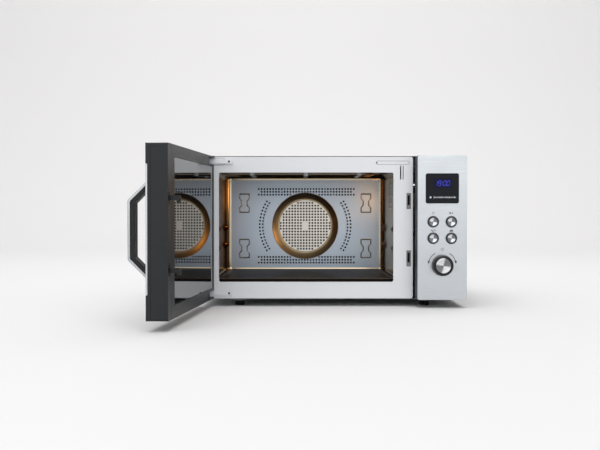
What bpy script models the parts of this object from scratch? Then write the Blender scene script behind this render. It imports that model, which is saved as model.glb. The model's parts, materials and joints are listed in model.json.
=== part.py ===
"""Flatbed microwave oven with grill and convection, its door open on the left.

Sizes are in millimetres and are turned into Blender's metres by the helpers.
X runs to the right, Y to the back and Z up.  The oven is laid out with X = 0 at the
cabinet's middle, Y = 0 on the front plate's face and Z = 0 under the feet.  Its origin
is then moved to the middle of the whole oven's base.
"""
import math

import bmesh
import bpy
from mathutils import Matrix, Vector

MM = 0.001

# ---- driving dimensions, in millimetres ----
CABINET_WIDTH = 524.0
CABINET_HEIGHT = 300.0          # feet included
CABINET_DEPTH = 430.0           # front plate to the back
DRAWN_HEIGHT = 284.0            # top to base plate, where the drops of the controls are as named
FOOT_HEIGHT = 16.0              # floor to the base plate
SHEET = 1.0                     # cabinet steel
GAP = 0.3                       # between pieces that rest on each other

PANEL_WIDTH = 98.5              # control panel, housing included
PANEL_DEPTH = 36.0              # the panel and the door stand this far in front
FASCIA_THICKNESS = 1.1
HOUSING_WALL = 2.5

CAVITY_LEFT_MARGIN = 24.3       # cabinet's side to the cavity's inside
CAVITY_RIGHT_MARGIN = 31.8      # control panel to the cavity's inside
CAVITY_TOP_MARGIN = 25.5
CAVITY_FLOOR = 46.0             # height of the liner's floor
CAVITY_DEPTH = 348.0
CAVITY_CORNER = 13.0
LINER_WALL = 0.8
OPENING_INSET = 9.8             # the front plate reaches this far over the cavity's sides
OPENING_TOP_INSET = 6.3
OPENING_SILL = 2.3              # and this far above the liner's floor
CERAMIC_THICKNESS = 4.0
CERAMIC_TOP = 55.0

RING_OUTER = 76.2               # embossed ring in the back wall
RING_INNER = 62.25
RING_DEPTH = 6.0
RING_DROP_SHARE = 119.0 / 228.5  # ceiling to the ring's middle, as a share of the cavity's height
FAN_CHAMBER_RADIUS = 98.0
FAN_CHAMBER_DEPTH = 36.0
FAN_RADIUS = 66.0

DOOR_ANGLE = 95.0               # as it stands open
HINGE_INSET = 12.0              # axis to the cabinet's side
HINGE_FORWARD = 15.0            # axis to the front plate's face
DOOR_CLEARANCE = 1.0            # closed door to the front plate
DOOR_TOP_GAP = 1.5
DOOR_SIDE_GAP = 2.0             # closed door to the control panel
DOOR_CHAMFER = 8.0
WINDOW_HINGE_MARGIN = 24.8      # door's edges to the glass
WINDOW_FREE_MARGIN = 48.5
WINDOW_TOP_MARGIN = 20.5
WINDOW_BOTTOM_MARGIN = 22.0
GLASS_THICKNESS = 3.2
GLASS_LEDGE = 5.0
SKIN_THICKNESS = 1.2

HANDLE_FROM_EDGE = 35.5         # free edge to the handle's middle
HANDLE_WIDTH = 24.0
HANDLE_REACH = 35.0
HANDLE_LENGTH = 165.0
HANDLE_GRIP = 97.0
HANDLE_STRAP = 4.3
HANDLE_LINER = 6.6
HANDLE_CENTRE_DROP = 138.0      # door's top to the handle's middle

HOOK_FROM_EDGE = 9.8            # free edge to the hooks
HOOK_REACH = 20.0
HOOK_HEIGHT = 12.0
HOOK_THICKNESS = 3.0
HOOK_DROPS = (88.5, 203.0)      # door's top to each hook's middle
LATCH_TRAVEL = 4.0

DISPLAY_WIDTH = 64.2
DISPLAY_HEIGHT = 58.2
DISPLAY_DROP = 36.0             # panel's top to the display's top
BUTTON_RADIUS = 10.7
BUTTON_SPACING = 35.6
BUTTON_ROWS = (130.4, 162.7)    # panel's top to each row
BUTTON_STAND = 3.0
BUTTON_TRAVEL = 1.5
KNOB_RADIUS = 20.9
KNOB_HEIGHT = 19.0
KNOB_DROP = 215.8               # panel's top to the knob's axis
SHAFT_RADIUS = 3.0

FOOT_RADIUS = 9.75
FOOT_INSET = 75.0               # cabinet's side to each foot
FOOT_FROM_FRONT = 35.0
FOOT_FROM_BACK = 45.0
BOSS_HEIGHT = 5.5
BOSS_RADIUS = 21.0

# ---- places that follow from them ----
LEFT = -CABINET_WIDTH / 2
RIGHT = CABINET_WIDTH / 2
TOP = CABINET_HEIGHT
BASE = FOOT_HEIGHT
BACK = CABINET_DEPTH
SPREAD = (TOP - BASE) / DRAWN_HEIGHT             # controls and hooks share out the height
PANEL_LEFT = RIGHT - PANEL_WIDTH
PANEL_MIDDLE = (PANEL_LEFT + RIGHT) / 2 + 0.75
PANEL_FACE = -PANEL_DEPTH

CAVITY_LEFT = LEFT + CAVITY_LEFT_MARGIN
CAVITY_RIGHT = PANEL_LEFT - CAVITY_RIGHT_MARGIN
CAVITY_TOP = TOP - CAVITY_TOP_MARGIN
CAVITY_MIDDLE = (CAVITY_LEFT + CAVITY_RIGHT) / 2
PLATE_THICKNESS = 1.2
CAVITY_FRONT = PLATE_THICKNESS + GAP
CAVITY_END = CAVITY_FRONT + CAVITY_DEPTH
RING_HEIGHT = CAVITY_TOP - RING_DROP_SHARE * (CAVITY_TOP - CAVITY_FLOOR)
OPENING_BOTTOM = CAVITY_FLOOR + OPENING_SILL
OPENING_TOP = CAVITY_TOP - OPENING_TOP_INSET
FLOOR_MIDDLE = (CAVITY_FRONT + CAVITY_END) / 2
SIDE_SPACE_LEFT = CAVITY_RIGHT + LINER_WALL      # the machine space beside the cavity
SIDE_SPACE_MIDDLE = (SIDE_SPACE_LEFT + RIGHT - SHEET) / 2
CHAMBER_FRONT = CAVITY_END + 1.0 + GAP

HINGE_X = LEFT + HINGE_INSET
HINGE_Y = -HINGE_FORWARD
# the door is laid out closed, round its hinge axis: X along the door, Y towards the cavity
DOOR_INNER = HINGE_FORWARD - DOOR_CLEARANCE
DOOR_OUTER = HINGE_FORWARD - PANEL_DEPTH - DOOR_CLEARANCE
DOOR_NEAR = LEFT - HINGE_X + 0.2
DOOR_FREE = PANEL_LEFT - DOOR_SIDE_GAP - HINGE_X
DOOR_BOTTOM = BASE + DOOR_TOP_GAP
DOOR_TOP = TOP - DOOR_TOP_GAP
GLASS_NEAR = DOOR_NEAR + WINDOW_HINGE_MARGIN
GLASS_FAR = DOOR_FREE - WINDOW_FREE_MARGIN
GLASS_BOTTOM = DOOR_BOTTOM + WINDOW_BOTTOM_MARGIN
GLASS_TOP = DOOR_TOP - WINDOW_TOP_MARGIN
FRAME_OUTER = DOOR_OUTER + SKIN_THICKNESS + GAP
HOOK_X = DOOR_FREE - HOOK_FROM_EDGE
HANDLE_X = DOOR_FREE - HANDLE_FROM_EDGE
HANDLE_Z = DOOR_TOP - HANDLE_CENTRE_DROP * SPREAD
HOOK_HEIGHTS = [DOOR_TOP - drop * SPREAD for drop in HOOK_DROPS]

FINISHES = {                    # colour, roughness, metallic
    "black_painted_steel": ((0.035, 0.036, 0.038), 0.45, 0.3),
    "silver_painted_steel": ((0.78, 0.79, 0.80), 0.35, 0.4),
    "brushed_steel": ((0.66, 0.66, 0.66), 0.3, 1.0),
    "stainless_steel": ((0.52, 0.53, 0.54), 0.25, 1.0),
    "galvanised_steel": ((0.45, 0.46, 0.47), 0.5, 0.9),
    "charcoal_plastic": ((0.05, 0.055, 0.06), 0.5, 0.0),
    "black_plastic": ((0.015, 0.015, 0.016), 0.4, 0.0),
    "black_rubber": ((0.02, 0.02, 0.02), 0.8, 0.0),
    "glass_ceramic": ((0.02, 0.018, 0.016), 0.08, 0.0),
    "tinted_glass": ((0.05, 0.055, 0.06), 0.05, 0.0),
    "clear_glass": ((0.7, 0.72, 0.72), 0.03, 0.0),
    "green_board": ((0.03, 0.12, 0.06), 0.6, 0.0),
    "aluminium": ((0.62, 0.62, 0.63), 0.35, 1.0),
    "heater_sheath": ((0.12, 0.11, 0.1), 0.5, 0.8),
    "white_plastic": ((0.75, 0.74, 0.7), 0.5, 0.0),
    "spun_metal": ((0.6, 0.6, 0.61), 0.25, 1.0),
}


# ---- helpers ----
def new_collection(name):
    collection = bpy.data.collections.new(name)
    bpy.context.scene.collection.children.link(collection)
    return collection


def finish_material(name):
    """The named finish as a Principled material, made once."""
    material = bpy.data.materials.get(name)
    if material is None:
        colour, roughness, metallic = FINISHES[name]
        material = bpy.data.materials.new(name)
        material.use_nodes = True
        shader = material.node_tree.nodes["Principled BSDF"]
        shader.inputs["Base Color"].default_value = (*colour, 1.0)
        shader.inputs["Roughness"].default_value = roughness
        shader.inputs["Metallic"].default_value = metallic
        material.diffuse_color = (*colour, 1.0)
    return material


def place(name, mesh, finish=None, parent=None, location=(0, 0, 0), turn=(0, 0, 0)):
    """Put a mesh in the scene: as a part with a finish, or as a cutter without one."""
    obj = bpy.data.objects.new(name, mesh)
    obj.location = Vector(location) * MM
    obj.rotation_euler = turn
    obj.parent = parent
    if finish is None:
        cutters.objects.link(obj)
        obj.hide_render = True
        obj.display_type = "WIRE"
    else:
        parts.objects.link(obj)
        mesh.materials.append(finish_material(finish))
    return obj


def bevel(obj, width, segments=2):
    modifier = obj.modifiers.new("rounding", "BEVEL")
    modifier.width = width * MM
    modifier.segments = segments
    modifier.limit_method = "ANGLE"
    return obj


def combine(obj, tool, operation):
    modifier = obj.modifiers.new(tool.name, "BOOLEAN")
    modifier.operation = operation
    modifier.solver = "EXACT"
    modifier.object = tool
    return obj


def cut(obj, tool):
    return combine(obj, tool, "DIFFERENCE")


def join(obj, tool):
    return combine(obj, tool, "UNION")


def box(name, xs, ys, zs, finish=None, parent=None):
    """A block between two X, two Y and two Z values, its origin at its middle."""
    return boxes(name, [(xs, ys, zs)], finish, parent)


def boxes(name, blocks, finish=None, parent=None):
    """Several blocks that don't touch, as one mesh."""
    first = Vector([(low + high) / 2 for low, high in blocks[0]])
    shape = bmesh.new()
    for block in blocks:
        middle = Vector([(low + high) / 2 for low, high in block]) - first
        size = Vector([high - low for low, high in block])
        matrix = Matrix.Translation(middle * MM) @ Matrix.Diagonal((*(size * MM), 1.0))
        bmesh.ops.create_cube(shape, size=1.0, matrix=matrix)
    mesh = bpy.data.meshes.new(name)
    shape.to_mesh(mesh)
    shape.free()
    return place(name, mesh, finish, parent, first)


def rounded(low_u, high_u, low_v, high_v, radius, steps=2):
    """Corner points of a rectangle with round corners, anticlockwise."""
    points = []
    corners = [(high_u, low_v, -90), (high_u, high_v, 0), (low_u, high_v, 90), (low_u, low_v, 180)]
    for u, v, start in corners:
        centre_u = u - math.copysign(radius, u - (low_u + high_u) / 2)
        centre_v = v - math.copysign(radius, v - (low_v + high_v) / 2)
        for step in range(steps + 1):
            angle = math.radians(start + 90 * step / steps)
            points.append((centre_u + radius * math.cos(angle), centre_v + radius * math.sin(angle)))
    return points


def rectangle(us, vs):
    return [(us[0], vs[0]), (us[1], vs[0]), (us[1], vs[1]), (us[0], vs[1])]


def circle(centre_u, centre_v, radius, count=24):
    return [(centre_u + radius * math.cos(2 * math.pi * i / count),
             centre_v + radius * math.sin(2 * math.pi * i / count)) for i in range(count)]


PLANE_TURNS = {                 # outline's U and V, and the way it is made thick
    "xy": (0, 0, 0),
    "xz": (math.pi / 2, 0, 0),
    "yz": (math.pi / 2, 0, math.pi / 2),
}


def solid_from_curve(name, curve, finish, parent, location=(0, 0, 0), turn=(0, 0, 0)):
    """The curve's closed mesh, its caps welded on."""
    source = place(name + "_curve", curve, None, parent, location, turn)
    bpy.context.view_layer.update()
    depsgraph = bpy.context.evaluated_depsgraph_get()
    mesh = bpy.data.meshes.new_from_object(source.evaluated_get(depsgraph))
    mesh.name = name
    shape = bmesh.new()
    shape.from_mesh(mesh)
    bmesh.ops.remove_doubles(shape, verts=shape.verts, dist=0.00001)
    bmesh.ops.recalc_face_normals(shape, faces=shape.faces)
    shape.to_mesh(mesh)
    shape.free()
    mesh.materials.clear()
    solid = place(name, mesh, finish, parent, location, turn)
    bpy.data.objects.remove(source)
    return solid


def sheet(name, plane, outlines, low, high, finish=None, parent=None):
    """A flat outline, the later outlines being its holes, made thick from low to high."""
    curve = bpy.data.curves.new(name, "CURVE")
    curve.dimensions = "2D"
    curve.fill_mode = "BOTH"
    curve.extrude = (high - low) / 2 * MM
    for outline in outlines:
        spline = curve.splines.new("POLY")
        spline.points.add(len(outline) - 1)
        for point, (u, v) in zip(spline.points, outline):
            point.co = (u * MM, v * MM, 0, 1)
        spline.use_cyclic_u = True
    middle = (low + high) / 2
    location = {"xy": (0, 0, middle), "xz": (0, middle, 0), "yz": (middle, 0, 0)}[plane]
    return solid_from_curve(name, curve, finish, parent, location, PLANE_TURNS[plane])


def tube(name, points, radius, finish=None, parent=None, closed=False):
    """A round rod through the points."""
    curve = bpy.data.curves.new(name, "CURVE")
    curve.dimensions = "3D"
    curve.bevel_depth = radius * MM
    curve.bevel_resolution = 2
    curve.use_fill_caps = not closed
    spline = curve.splines.new("POLY")
    spline.points.add(len(points) - 1)
    for point, place_at in zip(spline.points, points):
        point.co = (*(Vector(place_at) * MM), 1)
    spline.use_cyclic_u = closed
    return solid_from_curve(name, curve, finish, parent)


TURNED_AXES = {"up": (0, 0, 0), "front": (math.pi / 2, 0, 0), "left": (0, -math.pi / 2, 0)}


def turned(name, profile, axis, location, finish=None, parent=None, steps=16, ring=False):
    """A profile of (radius, height) points, run from top to bottom, turned round an axis."""
    shape = bmesh.new()
    points = [shape.verts.new((radius * MM, 0, height * MM)) for radius, height in profile]
    for first, second in zip(points, points[1:]):
        shape.edges.new((first, second))
    if ring:
        shape.edges.new((points[-1], points[0]))
    mesh = bpy.data.meshes.new(name)
    shape.to_mesh(mesh)
    shape.free()
    obj = place(name, mesh, finish, parent, location, TURNED_AXES[axis])
    screw = obj.modifiers.new("turn", "SCREW")
    screw.steps = steps
    screw.render_steps = steps
    screw.use_merge_vertices = True
    screw.merge_threshold = 0.00001
    screw.use_smooth_shade = True
    return obj


def disc_profile(radius, low, high, edge=0.5):
    """A solid disc or post with a small rounding on both rims."""
    return [(0, high), (radius - edge, high), (radius, high - edge),
            (radius, low + edge), (radius - edge, low), (0, low)]


for old in list(bpy.data.objects):
    bpy.data.objects.remove(old, do_unlink=True)
parts = new_collection("microwave_oven")
cutters = new_collection("cutters")


# ---- cabinet ----
def slot_row(low_u, high_u, low_v, height, pitch, count):
    """The (U, V) ranges of a ladder of slots, one above the other."""
    return [((low_u, high_u), (low_v + i * pitch, low_v + i * pitch + height)) for i in range(count)]


def make_wrap():
    inside = rounded(LEFT + SHEET, RIGHT - SHEET, BASE - 8, TOP - SHEET, 5.0)
    outside = rounded(LEFT, RIGHT, BASE - 8, TOP, 6.0)
    wrap = sheet("outer_wrap", "xz", [outside, inside], 0.0, BACK, "black_painted_steel")
    # the cover is open at the bottom
    cut(wrap, box("wrap_opening", (LEFT - 5, RIGHT + 5), (-5, BACK + 5), (BASE - 20, BASE + GAP)))
    vents = []
    for (low_y, high_y), zs in slot_row(BACK - 105, BACK - 45, TOP - 110 * SPREAD, 3.0, 8.0, 9):
        vents.append(((LEFT - 5, LEFT + 5), (low_y, high_y), zs))
        vents.append(((RIGHT - 5, RIGHT + 5), (low_y, high_y), zs))
    cut(wrap, boxes("wrap_vents", vents))


def make_base():
    base = box("base_plate", (LEFT + GAP, RIGHT - GAP), (PLATE_THICKNESS + GAP, BACK - 0.2),
               (BASE - SHEET, BASE), "galvanised_steel")
    for index, (x, y) in enumerate(foot_places()):
        boss = turned(f"boss_{index}", [(0, BASE - SHEET / 2), (BOSS_RADIUS, BASE - SHEET / 2),
                                        (BOSS_RADIUS - 4, BASE - BOSS_HEIGHT), (0, BASE - BOSS_HEIGHT)],
                      "up", (x, y, 0), steps=20)
        join(base, boss)
    intake = [((SIDE_SPACE_MIDDLE - 35, SIDE_SPACE_MIDDLE + 35), ys, (BASE - 5, BASE + 5))
              for _, ys in slot_row(0, 0, 90.0, 4.0, 12.0, 8)]
    cut(base, boxes("base_intake", intake))


def foot_places():
    """Feet at the front left, front right, rear left and rear right."""
    return [(x, y) for y in (FOOT_FROM_FRONT, BACK - FOOT_FROM_BACK)
            for x in (LEFT + FOOT_INSET, RIGHT - FOOT_INSET)]


def make_feet():
    names = ("foot_front_left", "foot_front_right", "foot_rear_left", "foot_rear_right")
    top = BASE - BOSS_HEIGHT - GAP
    for name, (x, y) in zip(names, foot_places()):
        profile = [(0, top), (FOOT_RADIUS, top), (FOOT_RADIUS, 4.0),
                   (FOOT_RADIUS - 1.5, 0.0), (0, 0.0)]
        turned(name, profile, "up", (x, y, 0), "black_rubber")


def make_rear():
    outline = rounded(LEFT + SHEET + GAP, RIGHT - SHEET - GAP, BASE + GAP, TOP - SHEET - GAP, 4.5)
    gland_hole = circle(RIGHT - 45, BASE + 45, 8.0, 16)
    holes = []
    for us, vs in slot_row(CAVITY_MIDDLE - 40, CAVITY_MIDDLE + 40, RING_HEIGHT - 30, 3.5, 9.0, 7):
        holes.append(rectangle(us, vs))
    for us, vs in slot_row(SIDE_SPACE_MIDDLE - 35, SIDE_SPACE_MIDDLE + 35, TOP - 120, 3.5, 9.0, 9):
        holes.append(rectangle(us, vs))
    sheet("rear_panel", "xz", [outline, gland_hole, *holes], BACK - SHEET - GAP, BACK - GAP,
          "galvanised_steel")
    gland = [(0, 8.0), (6.0, 8.0), (7.0, 2.0), (11.0, 2.0), (11.0, 0.3), (7.6, 0.3), (7.6, -6.0), (0, -6.0)]
    back_facing = [(radius, -height) for radius, height in reversed(gland)]
    turned("cord_gland", back_facing, "front", (RIGHT - 45, BACK - GAP, BASE + 45), "black_plastic")


def latch_slots(margin=0.0):
    """The two hooks' slots in the front plate, as X and Z ranges."""
    x = HINGE_X + HOOK_X
    return [((x - 4.7 - margin, x + 4.5 + margin),
             (height - 15.5 - margin, height + 16.5 + margin)) for height in HOOK_HEIGHTS]


def make_front():
    outline = rounded(LEFT + SHEET + GAP, PANEL_LEFT - 3.5, BASE + GAP, TOP - SHEET - GAP, 4.8)
    opening = rounded(CAVITY_LEFT + OPENING_INSET, CAVITY_RIGHT - OPENING_INSET,
                      OPENING_BOTTOM, OPENING_TOP, 3.5)
    slots = [rectangle(xs, zs) for xs, zs in latch_slots()]
    slots.append(rectangle((CAVITY_RIGHT + 2.5, CAVITY_RIGHT + 5.0), (TOP - 46.5, TOP - 19)))
    slots.append(rectangle((CAVITY_RIGHT + 8.0, CAVITY_RIGHT + 9.4), (TOP - 46.5, TOP - 19)))
    sheet("front_plate", "xz", [outline, opening, *slots], 0.0, PLATE_THICKNESS, "silver_painted_steel")


def make_hinge(name, low, high, socket_low, socket_high):
    """A flat arm on the front plate, its ear round the pin, and the pin."""
    ear = circle(HINGE_X, HINGE_Y, 6.0, 16)
    arm = sheet(name, "xy", [ear], low, high, "galvanised_steel")
    join(arm, box(name + "_neck", (HINGE_X - 5, HINGE_X + 5), (HINGE_Y, -3), (low + 0.01, high - 0.01)))
    join(arm, box(name + "_arm", (HINGE_X - 5.5, HINGE_X + 50), (-6, -GAP), (low + 0.02, high - 0.02)))
    pin = turned(name + "_pin", disc_profile(SHAFT_RADIUS, socket_low, socket_high),
                 "up", (HINGE_X, HINGE_Y, 0), steps=16)
    join(arm, pin)


make_wrap()
make_base()
make_feet()
make_rear()
make_front()
HINGE_HEIGHT = 8.0
POCKET_HEIGHT = 13.0
POCKET_WALL = 3.0               # door's top and bottom walls outside the hinge pockets
PIN_DEPTH = 9.0
UPPER_POCKET = (DOOR_TOP - POCKET_WALL - POCKET_HEIGHT, DOOR_TOP - POCKET_WALL)
LOWER_POCKET = (DOOR_BOTTOM + POCKET_WALL, DOOR_BOTTOM + POCKET_WALL + POCKET_HEIGHT)
for side, pocket in (("hinge_upper", UPPER_POCKET), ("hinge_lower", LOWER_POCKET)):
    middle = sum(pocket) / 2
    inward = -1 if side == "hinge_upper" else 1
    pin_ends = sorted((middle - inward * (POCKET_HEIGHT / 2 + POCKET_WALL - 0.8),
                       middle + inward * (POCKET_HEIGHT / 2 + PIN_DEPTH - 0.5)))
    make_hinge(side, middle - HINGE_HEIGHT / 2, middle + HINGE_HEIGHT / 2, *pin_ends)


# ---- cavity ----
def make_liner():
    outside = rounded(CAVITY_LEFT - LINER_WALL, CAVITY_RIGHT + LINER_WALL,
                      CAVITY_FLOOR - LINER_WALL, CAVITY_TOP + LINER_WALL, CAVITY_CORNER + LINER_WALL, 4)
    inside = rounded(CAVITY_LEFT, CAVITY_RIGHT, CAVITY_FLOOR, CAVITY_TOP, CAVITY_CORNER, 4)
    liner = sheet("cavity_liner", "xz", [outside, inside], CAVITY_FRONT, CAVITY_END, "stainless_steel")
    # pressed supports for a rack, two rows on each wall
    for wall, x, axis in (("left", CAVITY_LEFT, 1), ("right", CAVITY_RIGHT, -1)):
        for depth_index, y in enumerate((CAVITY_FRONT + 70, CAVITY_END - 48)):
            for row, drop in enumerate((121.0, 160.5)):
                shape = bmesh.new()
                lean = Matrix.Rotation(axis * math.pi / 2, 4, "Y")
                bmesh.ops.create_cone(shape, cap_ends=True, segments=8, radius1=0.011,
                                      radius2=0.005, depth=0.009, matrix=lean)
                mesh = bpy.data.meshes.new("support")
                shape.to_mesh(mesh)
                shape.free()
                name = f"support_{wall}_{depth_index}_{row}"
                join(liner, place(name, mesh, None, None, (x + axis * 4.2, y, CAVITY_TOP - drop)))
    well_hole = turned("well_hole", disc_profile(WELL_RADIUS - 6, CAVITY_FLOOR - 5, CAVITY_FLOOR + 5),
                       "up", (CAVITY_MIDDLE, FLOOR_MIDDLE, 0))
    cut(liner, well_hole)


def make_back():
    """The back wall, pressed back inside its round ring."""
    low, high = CAVITY_END + GAP, CAVITY_END + GAP + LINER_WALL
    edge = 6.0
    outline = rounded(CAVITY_LEFT - edge, CAVITY_RIGHT + edge, CAVITY_FLOOR - edge + 1.5,
                      CAVITY_TOP + edge, CAVITY_CORNER)
    wall = sheet("cavity_back", "xz", [outline, circle(CAVITY_MIDDLE, RING_HEIGHT, RING_OUTER, 32)],
                 low, high, "stainless_steel")
    # heights are towards the front, from the wall's front face
    thickness = LINER_WALL
    dish = [(0, -RING_DEPTH), (RING_INNER, -RING_DEPTH), (RING_OUTER - 0.5, 0.0), (RING_OUTER + 0.5, 0.0),
            (RING_OUTER + 0.5, -thickness), (RING_OUTER - 0.5 - 0.4, -thickness),
            (RING_INNER - 0.4, -RING_DEPTH - thickness), (0, -RING_DEPTH - thickness)]
    pressed = [(radius, height * 0.999 - 0.0005) for radius, height in dish]
    join(wall, turned("ring_pressing", pressed, "front", (CAVITY_MIDDLE, low, RING_HEIGHT), steps=32))


def make_floor():
    # the plate's underside stays inside the liner's round lower corners
    rise = max(CAVITY_CORNER - (CERAMIC_TOP - CERAMIC_THICKNESS - CAVITY_FLOOR), 0)
    inset = CAVITY_CORNER - math.sqrt(CAVITY_CORNER ** 2 - rise ** 2) + 2 * GAP
    outline = rounded(CAVITY_LEFT + inset, CAVITY_RIGHT - inset, CAVITY_FRONT + 1.5, CAVITY_END - 1.5, 6.0)
    sheet("ceramic_floor", "xy", [outline], CERAMIC_TOP - CERAMIC_THICKNESS, CERAMIC_TOP, "glass_ceramic")
    seal_top = CERAMIC_TOP - CERAMIC_THICKNESS - GAP
    side = CAVITY_CORNER + 1
    outer = rounded(CAVITY_LEFT + side, CAVITY_RIGHT - side, CAVITY_FRONT + 2.5, CAVITY_END - 2.5, 5.0)
    inner = rounded(CAVITY_LEFT + side + 12, CAVITY_RIGHT - side - 12, CAVITY_FRONT + 14.5,
                    CAVITY_END - 14.5, 5.0)
    sheet("floor_seal", "xy", [outer, inner], CAVITY_FLOOR + GAP, seal_top, "black_rubber")


WELL_RADIUS = 84.0
WELL_FLOOR = BASE + 13.5
STIRRER_AXIS = (CAVITY_MIDDLE, FLOOR_MIDDLE)


def make_stirrer():
    top = CAVITY_FLOOR - LINER_WALL - GAP
    thickness = 0.8
    profile = [(4.0, WELL_FLOOR), (WELL_RADIUS - 12, WELL_FLOOR), (WELL_RADIUS - 7, top),
               (WELL_RADIUS, top), (WELL_RADIUS, top - thickness),
               (WELL_RADIUS - 6.4, top - thickness),
               (WELL_RADIUS - 11.4, WELL_FLOOR - thickness), (4.0, WELL_FLOOR - thickness)]
    turned("stirrer_well", profile, "up", (*STIRRER_AXIS, 0), "stainless_steel", steps=24, ring=True)
    blade_low, blade_high = WELL_FLOOR + 4.5, WELL_FLOOR + 5.7
    hub = turned("stirrer", disc_profile(SHAFT_RADIUS, WELL_FLOOR - 3.0, blade_high + 3, 0.3),
                 "up", (*STIRRER_AXIS, 0), "aluminium", steps=16)
    join(hub, turned("stirrer_hub", disc_profile(20, blade_low, blade_high, 0.2), "up",
                     (*STIRRER_AXIS, 0), steps=16))
    for index in range(3):
        shape = bmesh.new()
        bmesh.ops.create_cube(shape, size=1.0, matrix=(
            Matrix.Rotation(index * 2 * math.pi / 3, 4, "Z") @ Matrix.Translation((0.038, 0, 0))
            @ Matrix.Diagonal((0.046, 0.018, 0.00118, 1.0))))
        mesh = bpy.data.meshes.new("stirrer_blade")
        shape.to_mesh(mesh)
        shape.free()
        middle_z = (blade_low + blade_high) / 2 + 0.02 * index
        join(hub, place(f"stirrer_blade_{index}", mesh, None, None, (*STIRRER_AXIS, middle_z)))
    motor_top = WELL_FLOOR - thickness - GAP
    motor = turned("stirrer_motor", disc_profile(25, BASE + GAP, motor_top), "up",
                   (*STIRRER_AXIS, 0), "galvanised_steel")
    cut(motor, turned("motor_bore", disc_profile(SHAFT_RADIUS + GAP, motor_top - 4, motor_top + 4, 0.1),
                      "up", (*STIRRER_AXIS, 0), steps=16))


HEATER_RADIUS = 3.2
HEATER_DROP = 5.5               # ceiling to the grill heater's middle


def make_grill():
    """A tubular heater bent in three runs under the ceiling, and its cover above."""
    z = CAVITY_TOP - HEATER_DROP
    left, right = CAVITY_LEFT + 62, CAVITY_RIGHT - 62
    wall_end = CAVITY_LEFT + CAVITY_CORNER / 2
    runs = [FLOOR_MIDDLE - 60, FLOOR_MIDDLE - 20, FLOOR_MIDDLE + 20, FLOOR_MIDDLE + 60]
    points = [(wall_end, runs[0], z)]
    for index, y in enumerate(runs[:-1]):
        near, sign = (right, 1) if index % 2 == 0 else (left, -1)
        middle_y = (y + runs[index + 1]) / 2
        for step in range(5):
            angle = math.radians(-90 + 45 * step)
            points.append((near + sign * 20 * math.cos(angle), middle_y + 20 * math.sin(angle), z))
    points.append((wall_end, runs[-1], z))
    tube("grill_heater", points, HEATER_RADIUS, "heater_sheath")
    low = CAVITY_TOP + LINER_WALL + GAP
    cover = bevel(box("heater_cover", (CAVITY_LEFT + 40, CAVITY_RIGHT - 40),
                      (FLOOR_MIDDLE - 95, FLOOR_MIDDLE + 95), (low, low + 14), "galvanised_steel"), 2.0, 1)
    cut(cover, box("cover_hollow", (CAVITY_LEFT + 41.2, CAVITY_RIGHT - 41.2),
                   (FLOOR_MIDDLE - 93.8, FLOOR_MIDDLE + 93.8), (low - 5, low + 12.8)))
    turned("thermostat", disc_profile(9, low, low + 11), "up",
           (CAVITY_RIGHT - 22, CAVITY_END - 60, 0), "white_plastic", steps=16)


def make_convection():
    """The fan chamber behind the back wall, with its heater, its fan and the motor."""
    axis = (CAVITY_MIDDLE, CHAMBER_FRONT, RING_HEIGHT)
    depth, wall = FAN_CHAMBER_DEPTH, 0.8
    outer, inner = FAN_CHAMBER_RADIUS, FAN_CHAMBER_RADIUS - 8
    # heights are towards the front, from the chamber's front flange
    profile = [(outer, 0), (outer, -wall), (inner, -wall), (inner, -depth), (4.5, -depth),
               (4.5, -depth + wall), (inner - wall, -depth + wall), (inner - wall, 0)]
    turned("convection_housing", profile, "front", axis, "galvanised_steel",
           steps=24, ring=True)
    heater_y = CHAMBER_FRONT + depth * 0.55
    arc = [(CAVITY_MIDDLE + 79 * math.sin(math.radians(angle)), heater_y,
            RING_HEIGHT - 79 * math.cos(math.radians(angle))) for angle in range(10, 351, 17)]
    leg_end = CHAMBER_FRONT + depth - wall - GAP
    legs = [(x, leg_end, z) for x, _, z in (arc[0], arc[-1])]
    tube("ring_heater", [legs[0], *arc, legs[1]], HEATER_RADIUS, "heater_sheath")
    fan_back = -depth + 6
    fan = turned("convection_fan", disc_profile(SHAFT_RADIUS, -depth - 9, fan_back + 14, 0.3), "front",
                 axis, "stainless_steel", steps=16)
    join(fan, turned("fan_disc", disc_profile(FAN_RADIUS, fan_back, fan_back + 1.2, 0.2), "front",
                     axis, steps=24))
    for index in range(8):
        shape = bmesh.new()
        bmesh.ops.create_cube(shape, size=1.0, matrix=(
            Matrix.Rotation(index * math.pi / 4, 4, "Y") @ Matrix.Translation((0.043, 0, 0))
            @ Matrix.Diagonal((0.042, 0.014, 0.0012, 1.0))))
        mesh = bpy.data.meshes.new("fan_blade")
        shape.to_mesh(mesh)
        shape.free()
        blade_y = CHAMBER_FRONT - fan_back - 7.6
        join(fan, place(f"fan_blade_{index}", mesh, None, None, (CAVITY_MIDDLE, blade_y, RING_HEIGHT)))
    motor_front = CHAMBER_FRONT + depth + GAP
    motor = bevel(box("convection_motor", (CAVITY_MIDDLE - 32, CAVITY_MIDDLE + 32),
                      (motor_front, motor_front + 30), (RING_HEIGHT - 28, RING_HEIGHT + 28),
                      "galvanised_steel"), 2.5, 1)
    cut(motor, turned("convection_bore", disc_profile(SHAFT_RADIUS + GAP, -depth - 12, -depth + 8, 0.1),
                      "front", axis, steps=16))


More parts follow.
